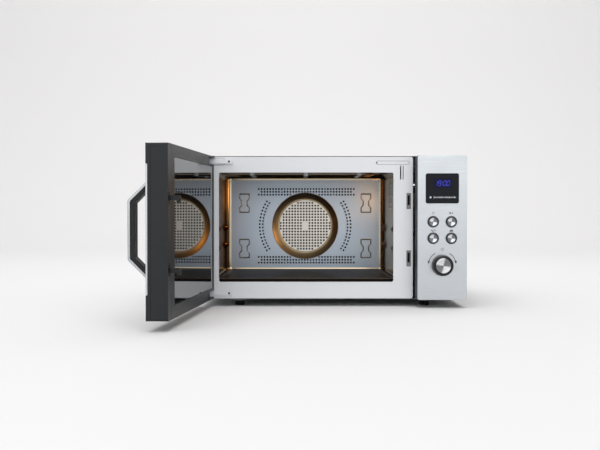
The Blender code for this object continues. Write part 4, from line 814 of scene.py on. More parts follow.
def makeBackWall():
    u0, v0, front = ringMiddle.x, ringMiddle.z, wallLow.y
    thick, ringOuter, ringInner = backWall["sheet"], *backWall["ringRadii"]
    pitch, count = backWall["pitch"], backWall["bandCount"]
    holes = []
    for index, row in enumerate(backWall["bandRows"]):
        for side in (1, -1):
            columns = range(1, count - 1) if index == 1 else range(count)
            for column in columns:
                u = backWall["bandStart"] + pitch * column
                if math.hypot(u, row) > ringOuter + 3.4 * mm:
                    holes.append((u0 + u, v0 + side * row))
    for radius in backWall["arcRadii"]:
        for side in (1, -1):
            for index in range(backWall["arcCount"]):
                angle = math.radians(backWall["arcSpread"] * (2 * index / (backWall["arcCount"] - 1) - 1))
                holes.append((u0 + side * radius * math.cos(angle), v0 + radius * math.sin(angle)))
    covers = [(u0 + side * backWall["coverOff"][0], v0 + rise * backWall["coverOff"][1])
              for side in (1, -1) for rise in (1, -1)]
    outline = roundedRect(wallLow.x, wallHigh.x, wallLow.z, wallHigh.z, 13 * mm)
    openings = [circlePoints(u0, v0, ringOuter + 0.9 * mm, 96)] + [coverOutline(*cover) for cover in covers]
    steel, pressed = finishes["backWall"], finishes["ringSteel"]
    parts = [punchedMesh("wall", "front", [outline, *openings], holes, backWall["holeRadius"],
                         front, front + thick, steel)]
    # the disc stands back by the depth of the ring's slope
    depth = 6 * mm
    reach = int(backWall["discRadius"] / pitch) + 1
    grid = [(u0 + (i + 0.5) * pitch, v0 + j * pitch)
            for i in range(-reach, reach) for j in range(-reach, reach + 1)
            if math.hypot((i + 0.5) * pitch, j * pitch) < backWall["discRadius"]
            and not (i in (-1, 0) and abs(j) <= 1)]
    parts.append(punchedMesh("disc", "front", [circlePoints(u0, v0, ringInner - 1.2 * mm, 96)], grid,
                             backWall["holeRadius"], front + depth, front + depth + thick, finishes["disc"]))
    # rolled bends on both sides of the slope
    slope = [(ringOuter + 1.6 * mm, -0.7), (ringOuter + 1.5 * mm, 0.25), (ringOuter + 0.8 * mm, 0.55),
             (ringOuter, 0.3), (ringOuter - 1.0 * mm, -0.4), (ringInner + 1.6 * mm, -5.2),
             (ringInner + 0.7 * mm, -5.45), (ringInner - 0.3 * mm, -5.2), (ringInner - 1.3 * mm, -5.4),
             (ringInner - 1.9 * mm, -6.1), (ringInner - 1.9 * mm, -6.7), (ringInner + 0.6 * mm, -6.7),
             (ringOuter - 1.0 * mm, -1.5)]
    ring = spunMesh("ring", [(radius, height * mm) for radius, height in slope], (0, -1, 0),
                    (u0, front, v0), steps=128, ring=True)
    parts.append(withMaterial(ring, pressed))
    for u, v in covers:
        plate = sheetMesh("cover", "front", [coverOutline(u, v, 2.3 * mm, 1.5 * mm)],
                          front - 0.5 * mm, front + 0.6 * mm, 0.25 * mm)
        parts.append(withMaterial(plate, steel))
        # the rims take the lighter stainless, a painted highlight
        rim = [(x, front, z) for x, z in coverOutline(u, v, -0.6 * mm, 2.4 * mm)]
        parts.append(withMaterial(rodMesh("cover_rim", rim, 0.9 * mm, closed=True), finishes["coverRim"]))
        edge = [(x, front - 0.4 * mm, z) for x, z in coverOutline(u, v, 2.7 * mm, 1.5 * mm)]
        parts.append(withMaterial(rodMesh("cover_edge", edge, 0.5 * mm, closed=True), finishes["coverRim"]))
    parts.append(withMaterial(coveMesh(), finishes["cove"]))
    wall = joinMeshes("back_wall_sheet", parts, steel)
    settle(wall, "cabinet", "stainless_steel", "cavity_back")
    # painted shade: a black sheet behind the wall, round the fan chamber, darkens the holes
    chamberLow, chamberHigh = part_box("convection_housing")
    hole = circlePoints(u0, v0, (chamberHigh.x - chamberLow.x) / 2 + 0.8 * mm, 64)
    lagging = sheetMesh("lagging", "front", [outline, hole], front + thick + 0.5 * mm,
                        front + thick + 3 * mm, 0.5 * mm)
    settle(meshObject("lagging_sheet", lagging, finishes["lagging"]), "cabinet", "black_rubber")


makeBackWall()

cavity = {
    "sheet": 0.8 * mm,
    "corner": 13 * mm,
    "supportDepths": (70 * mm, 300 * mm),     # from the cavity's front
    "supportDrops": (121 * mm, 160.5 * mm),   # from its ceiling
    "supportRadius": 12 * mm,
    "supportHeight": 9 * mm,
    "lampField": ((156 * mm, 228 * mm), (20 * mm, 96 * mm)),   # depth, drop from the ceiling
    "fieldPitch": 6 * mm,
    "fieldRadius": 1.6 * mm,
}


# a pressed support for a rack: a smooth teardrop bump that flares into the wall
def supportMesh(x, y, z, inwards):
    shape = bmesh.new()
    rings, sides = 9, 28
    rows = []
    for ring in range(rings):
        out = 1 - ring / rings
        height = cavity["supportHeight"] * (0.5 + 0.5 * math.cos(math.pi * out)) - 0.1 * mm
        row = []
        for side in range(sides):
            angle = 2 * math.pi * side / sides
            across = cavity["supportRadius"] * out
            tall = across * (1.0 if math.sin(angle) > 0 else 1.25) * math.sin(angle)
            row.append(shape.verts.new((x + inwards * height, y + 0.9 * across * math.cos(angle), z + tall)))
        rows.append(row)
    for low, high in zip(rows, rows[1:]):
        for side in range(sides):
            after = (side + 1) % sides
            shape.faces.new((low[side], low[after], high[after], high[side]))
    shape.faces.new(rows[0])
    tip = shape.verts.new((x + inwards * cavity["supportHeight"], y, z))
    for side in range(sides):
        shape.faces.new((rows[-1][side], rows[-1][(side + 1) % sides], tip))
    bmesh.ops.recalc_face_normals(shape, faces=shape.faces)
    mesh = meshOf(shape, "support")
    smoothShade(mesh, 60)
    return mesh


def makeCavityWalls():
    thick, corner = cavity["sheet"], cavity["corner"]
    inside = (linerLow + Vector((thick, 0, thick)), linerHigh - Vector((thick, 0, thick)))
    low, high = inside
    front, back = linerLow.y, linerHigh.y
    parts = []
    # floor, ceiling and the four bends in one piece each side of the flat side walls
    for side, top in ((1, True), (-1, False)):
        arcs = roundedRect(low.x, high.x, low.z, high.z, corner, 10)
        outer = roundedRect(linerLow.x, linerHigh.x, linerLow.z, linerHigh.z, corner + thick, 10)
        keep = [i for i, (u, v) in enumerate(arcs) if (v >= high.z - corner - 1e-6) == top
                and (v <= low.z + corner + 1e-6) != top]
        band = [outer[i] for i in keep] + [arcs[i] for i in reversed(keep)]
        if not top:
            # the lower band runs from the left bend round to the right bend
            lower = sorted(keep, key=lambda i: (i + len(arcs) - 33) % len(arcs))
            band = [outer[i] for i in lower] + [arcs[i] for i in reversed(lower)]
        parts.append(withMaterial(sheetMesh("bend", "front", [band], front, back), finishes["liner"]))
    field = cavity["lampField"]
    # each side wall takes its copy of the stainless with painted light
    for name, x, inwards, finish in (("left", linerLow.x, 1, "leftWall"),
                                     ("right", high.x, -1, "rightWall")):
        flat = [(front, low.z + corner), (back, low.z + corner), (back, high.z - corner),
                (front, high.z - corner)]
        holes = []
        if name == "right":
            (near, far), (top, bottom) = field
            columns = int((far - near) / cavity["fieldPitch"]) + 1
            rows = int((bottom - top) / (cavity["fieldPitch"] * 0.93)) + 1
            holes = [(front + near + cavity["fieldPitch"] * (i + 0.5 * (j % 2)),
                      high.z - top - cavity["fieldPitch"] * 0.93 * j)
                     for i in range(columns) for j in range(rows)]
        parts.append(punchedMesh(name, "side", [flat], holes, cavity["fieldRadius"], x, x + thick,
                                 finishes[finish], sides=10))
        face = low.x if name == "left" else high.x
        for depth in cavity["supportDepths"]:
            for drop in cavity["supportDrops"]:
                parts.append(withMaterial(supportMesh(face, front + depth, high.z - drop, inwards),
                                          finishes[finish]))
    walls = joinMeshes("cavity_walls", parts, finishes["liner"])
    return settle(walls, "cabinet", "stainless_steel", "cavity_liner")


makeCavityWalls()
print("cavity walls ready")

plate = {
    "corner": 4.5 * mm,
    "openingCorner": 4 * mm,
    "lip": 1.1 * mm,
    "hookSlot": (4.6 * mm, 16 * mm),     # half its width and height
    "hookFromEnd": 23 * mm,      # interlock bracket's end to the hook
    "slotTop": 46.5 * mm,        # from the cabinet's top
    "slotTall": 27.5 * mm,
    "slotOffsets": ((2.5 * mm, 4.9 * mm), (8.0 * mm, 9.4 * mm)),   # from the cavity's side
    "beadWide": 66 * mm,
    "beadTall": 7 * mm,
}


def makeFrontPlate():
    low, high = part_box("front_plate")
    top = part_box("outer_wrap")[1].z
    bracketLow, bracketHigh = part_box("interlock_bracket")
    opening = roundedRect(linerLow.x + 10.6 * mm, linerHigh.x - 10.6 * mm, linerLow.z + 3.1 * mm,
                          linerHigh.z - 7.1 * mm, plate["openingCorner"], 8)
    hookX = (bracketLow.x + bracketHigh.x) / 2
    wide, tall = plate["hookSlot"]
    slots = [roundedRect(hookX - wide, hookX + wide, z - tall, z + tall, 0.8 * mm, 3)
             for z in (bracketLow.z + plate["hookFromEnd"], bracketHigh.z - plate["hookFromEnd"])]
    side = linerHigh.x - 0.8 * mm
    slots += [roundedRect(side + near, side + far, top - plate["slotTop"],
                          top - plate["slotTop"] + plate["slotTall"], 0.65 * mm, 3)
              for near, far in plate["slotOffsets"]]
    outline = roundedRect(low.x, high.x, low.z, high.z, plate["corner"])
    parts = [sheetMesh("plate", "front", [outline, opening, *slots], low.y, high.y, 0.25 * mm)]
    # turned lip round the oven's mouth, and the pressed beads
    lip = [(u, low.y + 0.7 * mm, v) for u, v in opening]
    parts.append(rodMesh("lip", lip, plate["lip"], closed=True))
    # painted shade: the pressed beads take a darker copy of the enamel
    shaded = finishes["beadShade"]
    beadEnd = side - 45 * mm + plate["beadWide"]
    bead = roundedRect(side - 45 * mm, beadEnd, top - 16.5 * mm, top - 16.5 * mm + plate["beadTall"],
                       3.4 * mm)
    rail = roundedRect(low.x + 3.4 * mm, low.x + 47 * mm, top - 18 * mm, top - 3.8 * mm, 6.8 * mm)
    for name, path in (("bead", bead), ("arm_bead", rail)):
        parts.append(withMaterial(rodMesh(name, [(u, low.y + 0.15 * mm, v) for u, v in path], 0.6 * mm,
                                          closed=True), shaded))
    # painted shade: a thin black disc at each pressed dimple
    for u, v in ((side - 44 * mm, top - 13 * mm), (low.x + 42.5 * mm, top - 11 * mm)):
        dimpleShade = spunMesh("dimpleShade", [(0, 0.2 * mm), (1.7 * mm, 0.2 * mm), (1.8 * mm, 0), (0, 0)], (0, -1, 0),
                          (u, low.y, v), 20)
        parts.append(withMaterial(dimpleShade, finishes["black"]))
    sheet = joinMeshes("front_plate_sheet", parts, finishes["frontPaint"])
    return settle(sheet, "cabinet", "silver_painted_steel", "front_plate")


# grey guides behind the hooks' slots, with a narrow way for each hook
def makeSlotGuides():
    bracketLow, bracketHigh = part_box("interlock_bracket")
    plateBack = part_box("front_plate")[1].y
    hookX = (bracketLow.x + bracketHigh.x) / 2
    wide, tall = [half - gap for half, gap in zip(plate["hookSlot"], (0.1 * mm, 0.2 * mm))]
    parts = []
    for z in (bracketLow.z + plate["hookFromEnd"], bracketHigh.z - plate["hookFromEnd"]):
        outline = roundedRect(hookX - wide, hookX + wide, z - tall, z + tall, 0.6 * mm, 3)
        way = roundedRect(hookX - 2.3 * mm, hookX + 2.3 * mm, z - 8 * mm, z + 11.5 * mm, 0.8 * mm, 3)
        parts.append(sheetMesh("guide", "front", [outline, way], plateBack - 0.8 * mm,
                               plateBack + 0.2 * mm, 0.12 * mm, 1))
    guides = joinMeshes("latch_guides", parts, finishes["greyPlastic"])
    return settle(guides, "cabinet", "white_plastic")


makeFrontPlate()
makeSlotGuides()

ceramicPlate = {"edge": 1.6 * mm, "corner": 7 * mm, "lineInsets": (7 * mm, 11.5 * mm), "line": 0.35 * mm}


def makeCeramicPlate():
    low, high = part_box("ceramic_floor")
    outline = roundedRect(low.x, high.x, low.y, high.y, ceramicPlate["corner"])
    parts = [sheetMesh("plate", "top", [outline], low.z, high.z, ceramicPlate["edge"], 3)]
    for inset in ceramicPlate["lineInsets"]:
        line = roundedRect(low.x + inset, high.x - inset, low.y + inset, high.y - inset,
                           ceramicPlate["corner"])
        parts.append(withMaterial(rodMesh("rim_line", [(x, y, high.z - 0.12 * mm) for x, y in line],
                                          ceramicPlate["line"], closed=True, sides=2), finishes["rimLine"]))
    sheet = joinMeshes("ceramic_plate", parts, finishes["ceramic"])
    return settle(sheet, "cabinet", "glass_ceramic", "ceramic_floor")


makeCeramicPlate()

grill = {"radius": 3.2 * mm, "turn": 20 * mm, "inset": 62 * mm, "clipWidth": 9 * mm}


def makeGrill():
    low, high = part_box("grill_heater")
    radius, turn = grill["radius"], grill["turn"]
    z = (low.z + high.z) / 2
    left, right = linerLow.x + 0.8 * mm + grill["inset"], high.x - turn - radius
    points = [(low.x, low.y + radius, z)]
    for index in range(3):
        near, sign = (right, 1) if index % 2 == 0 else (left, -1)
        middle = low.y + radius + turn * (2 * index + 1)
        for step in range(13):
            angle = math.radians(-90 + 15 * step)
            points.append((near + sign * turn * math.cos(angle), middle + turn * math.sin(angle), z))
    points.append((low.x, high.y - radius, z))
    heater = joinMeshes("grill_element", [rodMesh("rod", points, radius, sides=6)],
                        finishes["heaterSheath"])
    settle(heater, "cabinet", "heater_sheath", "grill_heater")
    # wire clips that hold the runs up to the ceiling
    ceiling = linerHigh.z - 0.8 * mm
    half = grill["clipWidth"] / 2
    clips = []
    for x in (left + 10 * mm, (left + right) / 2, right - 10 * mm):
        drop = low.z - 1.2 * mm
        for y in (low.y + radius + turn, high.y - radius - turn):
            over = drop + 0.8 * mm
            band = [(y - turn - 6 * mm, ceiling), (y - turn - 5 * mm, drop), (y + turn + 5 * mm, drop),
                    (y + turn + 6 * mm, ceiling), (y + turn + 5 * mm, ceiling), (y + turn + 4.2 * mm, over),
                    (y - turn - 4.2 * mm, over), (y - turn - 5 * mm, ceiling)]
            clips.append(sheetMesh("clip", "side", [band], x - half, x + half, 0.12 * mm, 1))
    holders = joinMeshes("grill_clips", clips, finishes["zinc"])
    settle(holders, "cabinet", "galvanised_steel")


makeGrill()
print("front and cavity pieces ready")


# door, laid out closed round its hinge (x along the door, y towards the cavity) and then swung open

hinge = next(joint for joint in frame["joints"] if joint["name"] == "door_hinge")
doorPlace = (Matrix.Translation((hinge["pos_m"][0], hinge["pos_m"][1], 0))
             @ Matrix.Rotation(math.radians(hinge["range_deg"][0]), 4, "Z"))


# a door node's corners in the closed door's own axes
def doorBox(node):
    back = doorPlace.inverted()
    points = [back @ vertex.co for vertex in frame["nodes"][node].data.vertices]
    return (Vector([min(p[i] for p in points) for i in range(3)]),
            Vector([max(p[i] for p in points) for i in range(3)]))


def onDoor(mesh):
    mesh.transform(doorPlace)
    return mesh


door = {
    "capTop": 33 * mm,           # height of the corner caps on the free edge
    "capBottom": 41 * mm,
    "capWidth": 1.9 * mm,
    "lipDepth": 3.0 * mm,        # steel skin's turned edge
    "groove": (386 * mm, 1.2 * mm, 0.5 * mm),   # place, width, depth on the inner face
    "windowBand": 14 * mm,
    "handleCorner": 7 * mm,
}


def makeDoorFrame():
    low, high = doorBox("door_frame")
    glassLow, glassHigh = doorBox("inner_glass")
    grooveAt, grooveWide, grooveDeep = door["groove"]
    cutters = [onDoor(blockMesh("cutter", (grooveAt, high.y - grooveDeep, low.z + 2.5 * mm),
                                (grooveAt + grooveWide, high.y + 2 * mm, high.z - 2.5 * mm), 0.05 * mm, 1)),
               onDoor(blockMesh("cutter", (high.x - door["capWidth"] - 0.2 * mm, low.y - 3 * mm,
                                           low.z + door["capBottom"] - 0.2 * mm),
                                (high.x + 2 * mm, low.y + door["lipDepth"] - 1.2 * mm,
                                 high.z - door["capTop"] + 0.2 * mm), 0.05 * mm, 1))]
    moulding = softened("frame", "door_frame", 0.7 * mm, 2, cutters)
    # rim that steps up round the inner pane
    rim = roundedRect(glassLow.x - 3.5 * mm, glassHigh.x + 3.5 * mm, glassLow.z - 3.5 * mm,
                      glassHigh.z + 3.5 * mm, 5 * mm)
    inner = roundedRect(glassLow.x - 0.4 * mm, glassHigh.x + 0.4 * mm, glassLow.z - 0.4 * mm,
                        glassHigh.z + 0.4 * mm, 4 * mm)
    step = onDoor(sheetMesh("rim", "front", [rim, inner], high.y - 1 * mm, high.y + 0.25 * mm, 0.2 * mm, 1))
    parts = [moulding, withMaterial(step, finishes["black"])]
    skinLow = doorBox("door_skin")[0]
    for start, end in ((low.z, low.z + door["capBottom"] - 0.4 * mm),
                       (high.z - door["capTop"] + 0.4 * mm, high.z)):
        parts.append(onDoor(blockMesh("cap", (high.x - door["capWidth"], skinLow.y, start),
                                      (high.x, low.y + 0.4 * mm, end), 0.4 * mm)))
    frameObject = joinMeshes("door_moulding", parts, finishes["charcoal"])
    return settle(frameObject, "door", "charcoal_plastic", "door_frame")


def makeDoorSkin():
    low, high = doorBox("door_skin")
    frameLow, frameHigh = doorBox("door_frame")
    glassLow, glassHigh = doorBox("outer_glass")
    notch = high.x - door["capWidth"] - 0.1 * mm
    capLow, capHigh = frameLow.z + door["capBottom"], frameHigh.z - door["capTop"]
    outline = filleted([(low.x, low.z), (notch, low.z), (notch, capLow), (high.x, capLow),
                        (high.x, capHigh), (notch, capHigh), (notch, high.z), (low.x, high.z)], 2 * mm, 5)
    band = door["windowBand"]
    window = roundedRect(glassLow.x + band, glassHigh.x - band, glassLow.z + band, glassHigh.z - band,
                         6 * mm)
    parts = [sheetMesh("skin", "front", [outline, window], low.y, high.y, 0.3 * mm),
             blockMesh("lip", (high.x - 1.5 * mm, low.y + 0.1 * mm, capLow + 0.1 * mm),
                       (frameHigh.x, low.y + door["lipDepth"], capHigh - 0.1 * mm), 0.4 * mm)]
    skin = joinMeshes("door_skin_sheet", [onDoor(part) for part in parts], finishes["brushedDoor"])
    return settle(skin, "door", "brushed_steel", "door_skin")


def makeDoorPanes():
    for name, node in (("inner_pane", "inner_glass"), ("outer_pane", "outer_glass")):
        low, high = doorBox(node)
        outline = roundedRect(low.x, high.x, low.z, high.z, 4 * mm)
        pane = onDoor(sheetMesh(name, "front", [outline], low.y, high.y, 0.4 * mm, 2))
        settle(meshObject(name, pane, finishes["darkGlass"]), "door", "tinted_glass", node)
    low, high = doorBox("mesh_screen")
    outline = roundedRect(low.x, high.x, low.z, high.z, 3.5 * mm)
    screen = onDoor(sheetMesh("choke_screen", "front", [outline], low.y, high.y, 0.1 * mm, 1))
    settle(meshObject("choke_screen", screen, finishes["screen"]), "door", "black_painted_steel",
           "mesh_screen")


# a strap bent at four corners, with its plastic liner inside it
def makeHandle():
    for name, node, start, thick, finish, slot in (
            ("handle_strap", "handle_bar", 0, 4.3 * mm, "handleMetal", "aluminium"),
            ("handle_grip", "handle_liner", 4.6 * mm, 6.6 * mm, "black", "black_plastic")):
        low, high = doorBox(node)
        strapLow, strapHigh = doorBox("handle_bar")
        reach, foot = strapHigh.y - strapLow.y, (strapHigh.z - strapLow.z) / 2
        middle, grip = (strapLow.z + strapHigh.z) / 2, foot - 34 * mm
        slope = (foot - grip) / (reach + 0.3 * mm)
        along = math.sqrt(1 + slope * slope)

        def bend(inset, radius):
            out = strapLow.y + inset
            end = foot - inset * along
            corner = grip + inset * (slope - along)
            return filleted([(strapHigh.y, middle - end), (out, middle - corner),
                             (out, middle + corner), (strapHigh.y, middle + end)], radius, 8, closed=False)

        outline = (bend(start, door["handleCorner"])
                   + list(reversed(bend(start + thick, max(door["handleCorner"] - 3 * mm, 2 * mm)))))
        band = onDoor(sheetMesh(name, "side", [outline], low.x, high.x, 0.9 * mm, 3))
        settle(meshObject(name, band, finishes[finish]), "door", slot, node)


makeDoorFrame()
makeDoorSkin()
makeDoorPanes()
makeHandle()
print("door ready")


# control panel

panel = {
    "corner": 4 * mm,
    "edge": 0.45 * mm,
    "displayGap": 0.25 * mm,
    "buttonRadius": 10.7 * mm,
    "buttonGap": 0.4 * mm,
    "faceRadius": 7.75 * mm,
    "knobFace": 14.7 * mm,
    "knobRibs": 54,
    "ribDepth": 0.35 * mm,
    "print": 0.06 * mm,
    "arrowRadius": 27.4 * mm,
    "arrowHead": 2.6 * mm,
}
buttonNames = [name for name in frame["nodes"] if name.startswith("button_")]
knobMiddle = middleOf("knob")


def makeFascia():
    low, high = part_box("fascia")
    displayLow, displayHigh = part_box("display_window")
    gap = panel["displayGap"]
    holes = [roundedRect(displayLow.x - gap, displayHigh.x + gap, displayLow.z - gap, displayHigh.z + gap,
                         3.7 * mm)]
    for name in buttonNames:
        middle = middleOf(name)
        holes.append(circlePoints(middle.x, middle.z, panel["buttonRadius"] + panel["buttonGap"], 64))
    holes.append(circlePoints(knobMiddle.x, knobMiddle.z, 7 * mm, 40))
    outline = roundedRect(low.x, high.x, low.z, high.z, panel["corner"], 10)
    sheet = sheetMesh("fascia_sheet", "front", [outline, *holes], low.y, high.y, panel["edge"], 3)
    return settle(meshObject("fascia_sheet", sheet, finishes["brushedFascia"]), "cabinet",
                  "brushed_steel", "fascia")


# a chromed cap with a lathe-faced disc let into it, its flange and stem behind the fascia
def makeButton(name):
    low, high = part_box(name)
    middle = middleOf(name)
    radius, face = panel["buttonRadius"], panel["faceRadius"]
    # heights are towards the front, from the cap's face
    flange = -(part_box("panel_housing")[0].y + 2.8 * mm - low.y)
    end = -(high.y - low.y)
    profile = [(0, -1.0 * mm), (face, -1.0 * mm), (face + 0.15 * mm, -0.35 * mm), (face + 0.9 * mm, 0),
               (radius - 1.1 * mm, 0), (radius - 0.35 * mm, -0.35 * mm), (radius, -1.1 * mm),
               (radius, flange), (radius + 1.2 * mm, flange), (radius + 1.2 * mm, flange - 1.5 * mm),
               (3 * mm, flange - 1.5 * mm), (3 * mm, end), (0, end)]
    cap = withMaterial(spunMesh(name, profile, (0, -1, 0), (middle.x, low.y, middle.z), 64),
                       finishes["darkChrome"])
    dish = [(0, -0.55 * mm), (face - 0.8 * mm, -0.25 * mm), (face - 0.25 * mm, -0.2 * mm),
            (face - 0.05 * mm, -0.4 * mm), (face - 0.05 * mm, -0.95 * mm), (0, -0.95 * mm)]
    # painted highlight: the face's colour runs between light sectors and sectors of painted shade
    spun = spunAluminiumFinish(name + " face", (middle.x, low.y, middle.z), axisY, "D6D8DA", "6F7174", 0.24)
    disc = withMaterial(spunMesh(name, dish, (0, -1, 0), (middle.x, low.y, middle.z), 64), spun)
    button = joinMeshes(name + "_cap", [cap, disc], finishes["darkChrome"])
    return settle(button, name, "spun_metal", name)


# a ribbed grip ring with a rolled rim round a lathe-faced disc, on its shaft
def makeKnob():
    low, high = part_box("knob")
    radius, face = (high.x - low.x) / 2, panel["knobFace"]
    skirt = -(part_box("fascia")[0].y - 0.8 * mm - low.y)
    end = -(high.y - low.y)
    profile = [(0, -1.2 * mm), (face, -1.2 * mm), (face + 0.25 * mm, -0.5 * mm), (face + 0.9 * mm, 0),
               (radius - 3.0 * mm, -0.15 * mm), (radius - 1.7 * mm, -0.9 * mm),
               (radius - 1.1 * mm, -2.2 * mm), (radius - 0.9 * mm, -3.0 * mm),
               (radius - 0.15 * mm, skirt + 1.5 * mm), (radius, skirt + 0.5 * mm),
               (radius - 0.5 * mm, skirt), (3 * mm, skirt), (3 * mm, end), (0, end)]
    grip = spunMesh("knob", profile, (0, -1, 0), (knobMiddle.x, low.y, knobMiddle.z), panel["knobRibs"] * 4)
    for vertex in grip.vertices:
        out = Vector((vertex.co.x - knobMiddle.x, 0, vertex.co.z - knobMiddle.z))
        back = vertex.co.y - low.y
        if out.length > radius - 1.2 * mm and 1 * mm < back < -skirt - 1 * mm:
            turn = math.atan2(out.z, out.x) * panel["knobRibs"]
            vertex.co += out.normalized() * (math.cos(turn) - 1) / 2 * panel["ribDepth"]
    dish = [(0, -0.9 * mm), (face - 1.2 * mm, -0.35 * mm), (face - 0.4 * mm, -0.3 * mm),
            (face - 0.05 * mm, -0.55 * mm), (face - 0.05 * mm, -1.15 * mm), (0, -1.15 * mm)]
    # painted highlight: the face's colour runs between light sectors and sectors of painted shade
    spun = spunAluminiumFinish("knob face", (knobMiddle.x, low.y, knobMiddle.z), axisY, "D6D8DA",
                               "707275", 0.22)
    disc = withMaterial(spunMesh("knob", dish, (0, -1, 0), (knobMiddle.x, low.y, knobMiddle.z), 96), spun)
    knob = joinMeshes("knob_cap", [grip, disc], finishes["knobGrip"])
    return settle(knob, "knob", "spun_metal", "knob")


display = {
    "digitWidth": 5.0 * mm,
    "digitHeight": 9.4 * mm,
    "segment": 1.0 * mm,
    "digitsFrom": (-15.4, -8.4, -2.0, 1.6, 8.6),     # mm from the window's middle
    "lean": 0.12,
    "fieldHalf": 18.5 * mm,
    "fieldTall": 20 * mm,
    "shows": ("1", "9", ":", "0", "0"),
    "fieldTop": 9 * mm,          # window's top to the lit field
    "iconDrop": 46.5 * mm,
}
segmentsOf = {"0": "abcdef", "1": "bc", "9": "abcdfg"}


# the bars of a seven-segment digit whose lower left corner is at (u, v)
def segmentOutlines(letter, u, v):
    wide, tall, bar = display["digitWidth"], display["digitHeight"], display["segment"]
    mid, gap = tall / 2, 0.25 * mm
    level = {"a": tall, "g": mid, "d": 0}
    upright = {"b": (wide, mid, tall), "c": (wide, 0, mid), "e": (0, 0, mid), "f": (0, mid, tall)}
    outlines = []
    for name in segmentsOf[letter]:
        h = bar / 2
        if name in level:
            z = level[name]
            points = [(gap + h, z - h), (wide - gap - h, z - h), (wide - gap, z), (wide - gap - h, z + h),
                      (gap + h, z + h), (gap, z)]
        else:
            x, start, end = upright[name]
            points = [(x, start + gap), (x + h, start + gap + h), (x + h, end - gap - h), (x, end - gap),
                      (x - h, end - gap - h), (x - h, start + gap + h)]
        outlines.append([(u + x + display["lean"] * z, v + z) for x, z in points])
    return outlines


# printed or lit marks: very thin closed plates on a face that looks to the front
def thinMarks(name, outlines, front, material, thickness=None):
    thickness = thickness or panel["print"]
    return [withMaterial(sheetMesh(name, "front", [outline], front - thickness, front + 0.02 * mm), material)
            for outline in outlines]


def makeDisplay():
    low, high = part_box("display_window")
    outline = roundedRect(low.x, high.x, low.z, high.z, 3.5 * mm)
    window = sheetMesh("display_window_pane", "front", [outline], low.y, high.y, 0.5 * mm, 3)
    parts = [withMaterial(window, finishes["displayAcrylic"])]
    middle, top = (low.x + high.x) / 2, high.z
    fieldHigh = top - display["fieldTop"]
    half = display["fieldHalf"]
    field = roundedRect(middle - half, middle + half, fieldHigh - display["fieldTall"], fieldHigh, 1 * mm)
    front = low.y
    parts += thinMarks("field", [field], front, finishes["litField"], 0.03 * mm)
    lit = []
    for index, letter in enumerate(display["shows"]):
        u = middle + display["digitsFrom"][index] * mm
        v = fieldHigh - display["fieldTall"] / 2 - display["digitHeight"] / 2
        if letter == ":":
            lit += [circlePoints(u + 1.9 * mm, v + z, 0.7 * mm, 12) for z in (2.9 * mm, 6.6 * mm)]
        else:
            lit += segmentOutlines(letter, u, v)
    parts += thinMarks("digits", lit, front - 0.03 * mm, finishes["digits"], 0.04 * mm)
    # a row of plain pictograms under the digits
    icons = []
    z = top - display["iconDrop"]
    icons.append(circlePoints(low.x + 9 * mm, z, 1.9 * mm, 20))
    for index in range(9):
        u = low.x + (15.5 + 4.9 * index) * mm
        tall = (2.2, 1.3, 1.9)[index % 3] * mm
        icons.append(filleted([(u, z - tall), (u + 1.1 * mm, z - tall), (u + 1.1 * mm, z + tall),
                               (u, z + tall)], 0.3 * mm, 3))
        icons.append(filleted([(u + 1.8 * mm, z - 0.6 * mm), (u + 3.8 * mm, z - 0.6 * mm),
                               (u + 3.8 * mm, z + 0.6 * mm), (u + 1.8 * mm, z + 0.6 * mm)], 0.3 * mm, 3))
    parts += thinMarks("icons", icons, front, finishes["printPale"])
    window = joinMeshes("display_pane", parts, finishes["displayAcrylic"])
    return settle(window, "cabinet", "tinted_glass", "display_window")


# a band along an arc, its angles in degrees from straight up, clockwise
def arcBand(u, v, radius, width, start, end, steps=18):
    angles = [math.radians(90 - start - (end - start) * i / steps) for i in range(steps + 1)]
    outer, inner = [[(u + reach * math.cos(angle), v + reach * math.sin(angle)) for angle in angles]
                    for reach in (radius + width / 2, radius - width / 2)]
    return outer + list(reversed(inner))


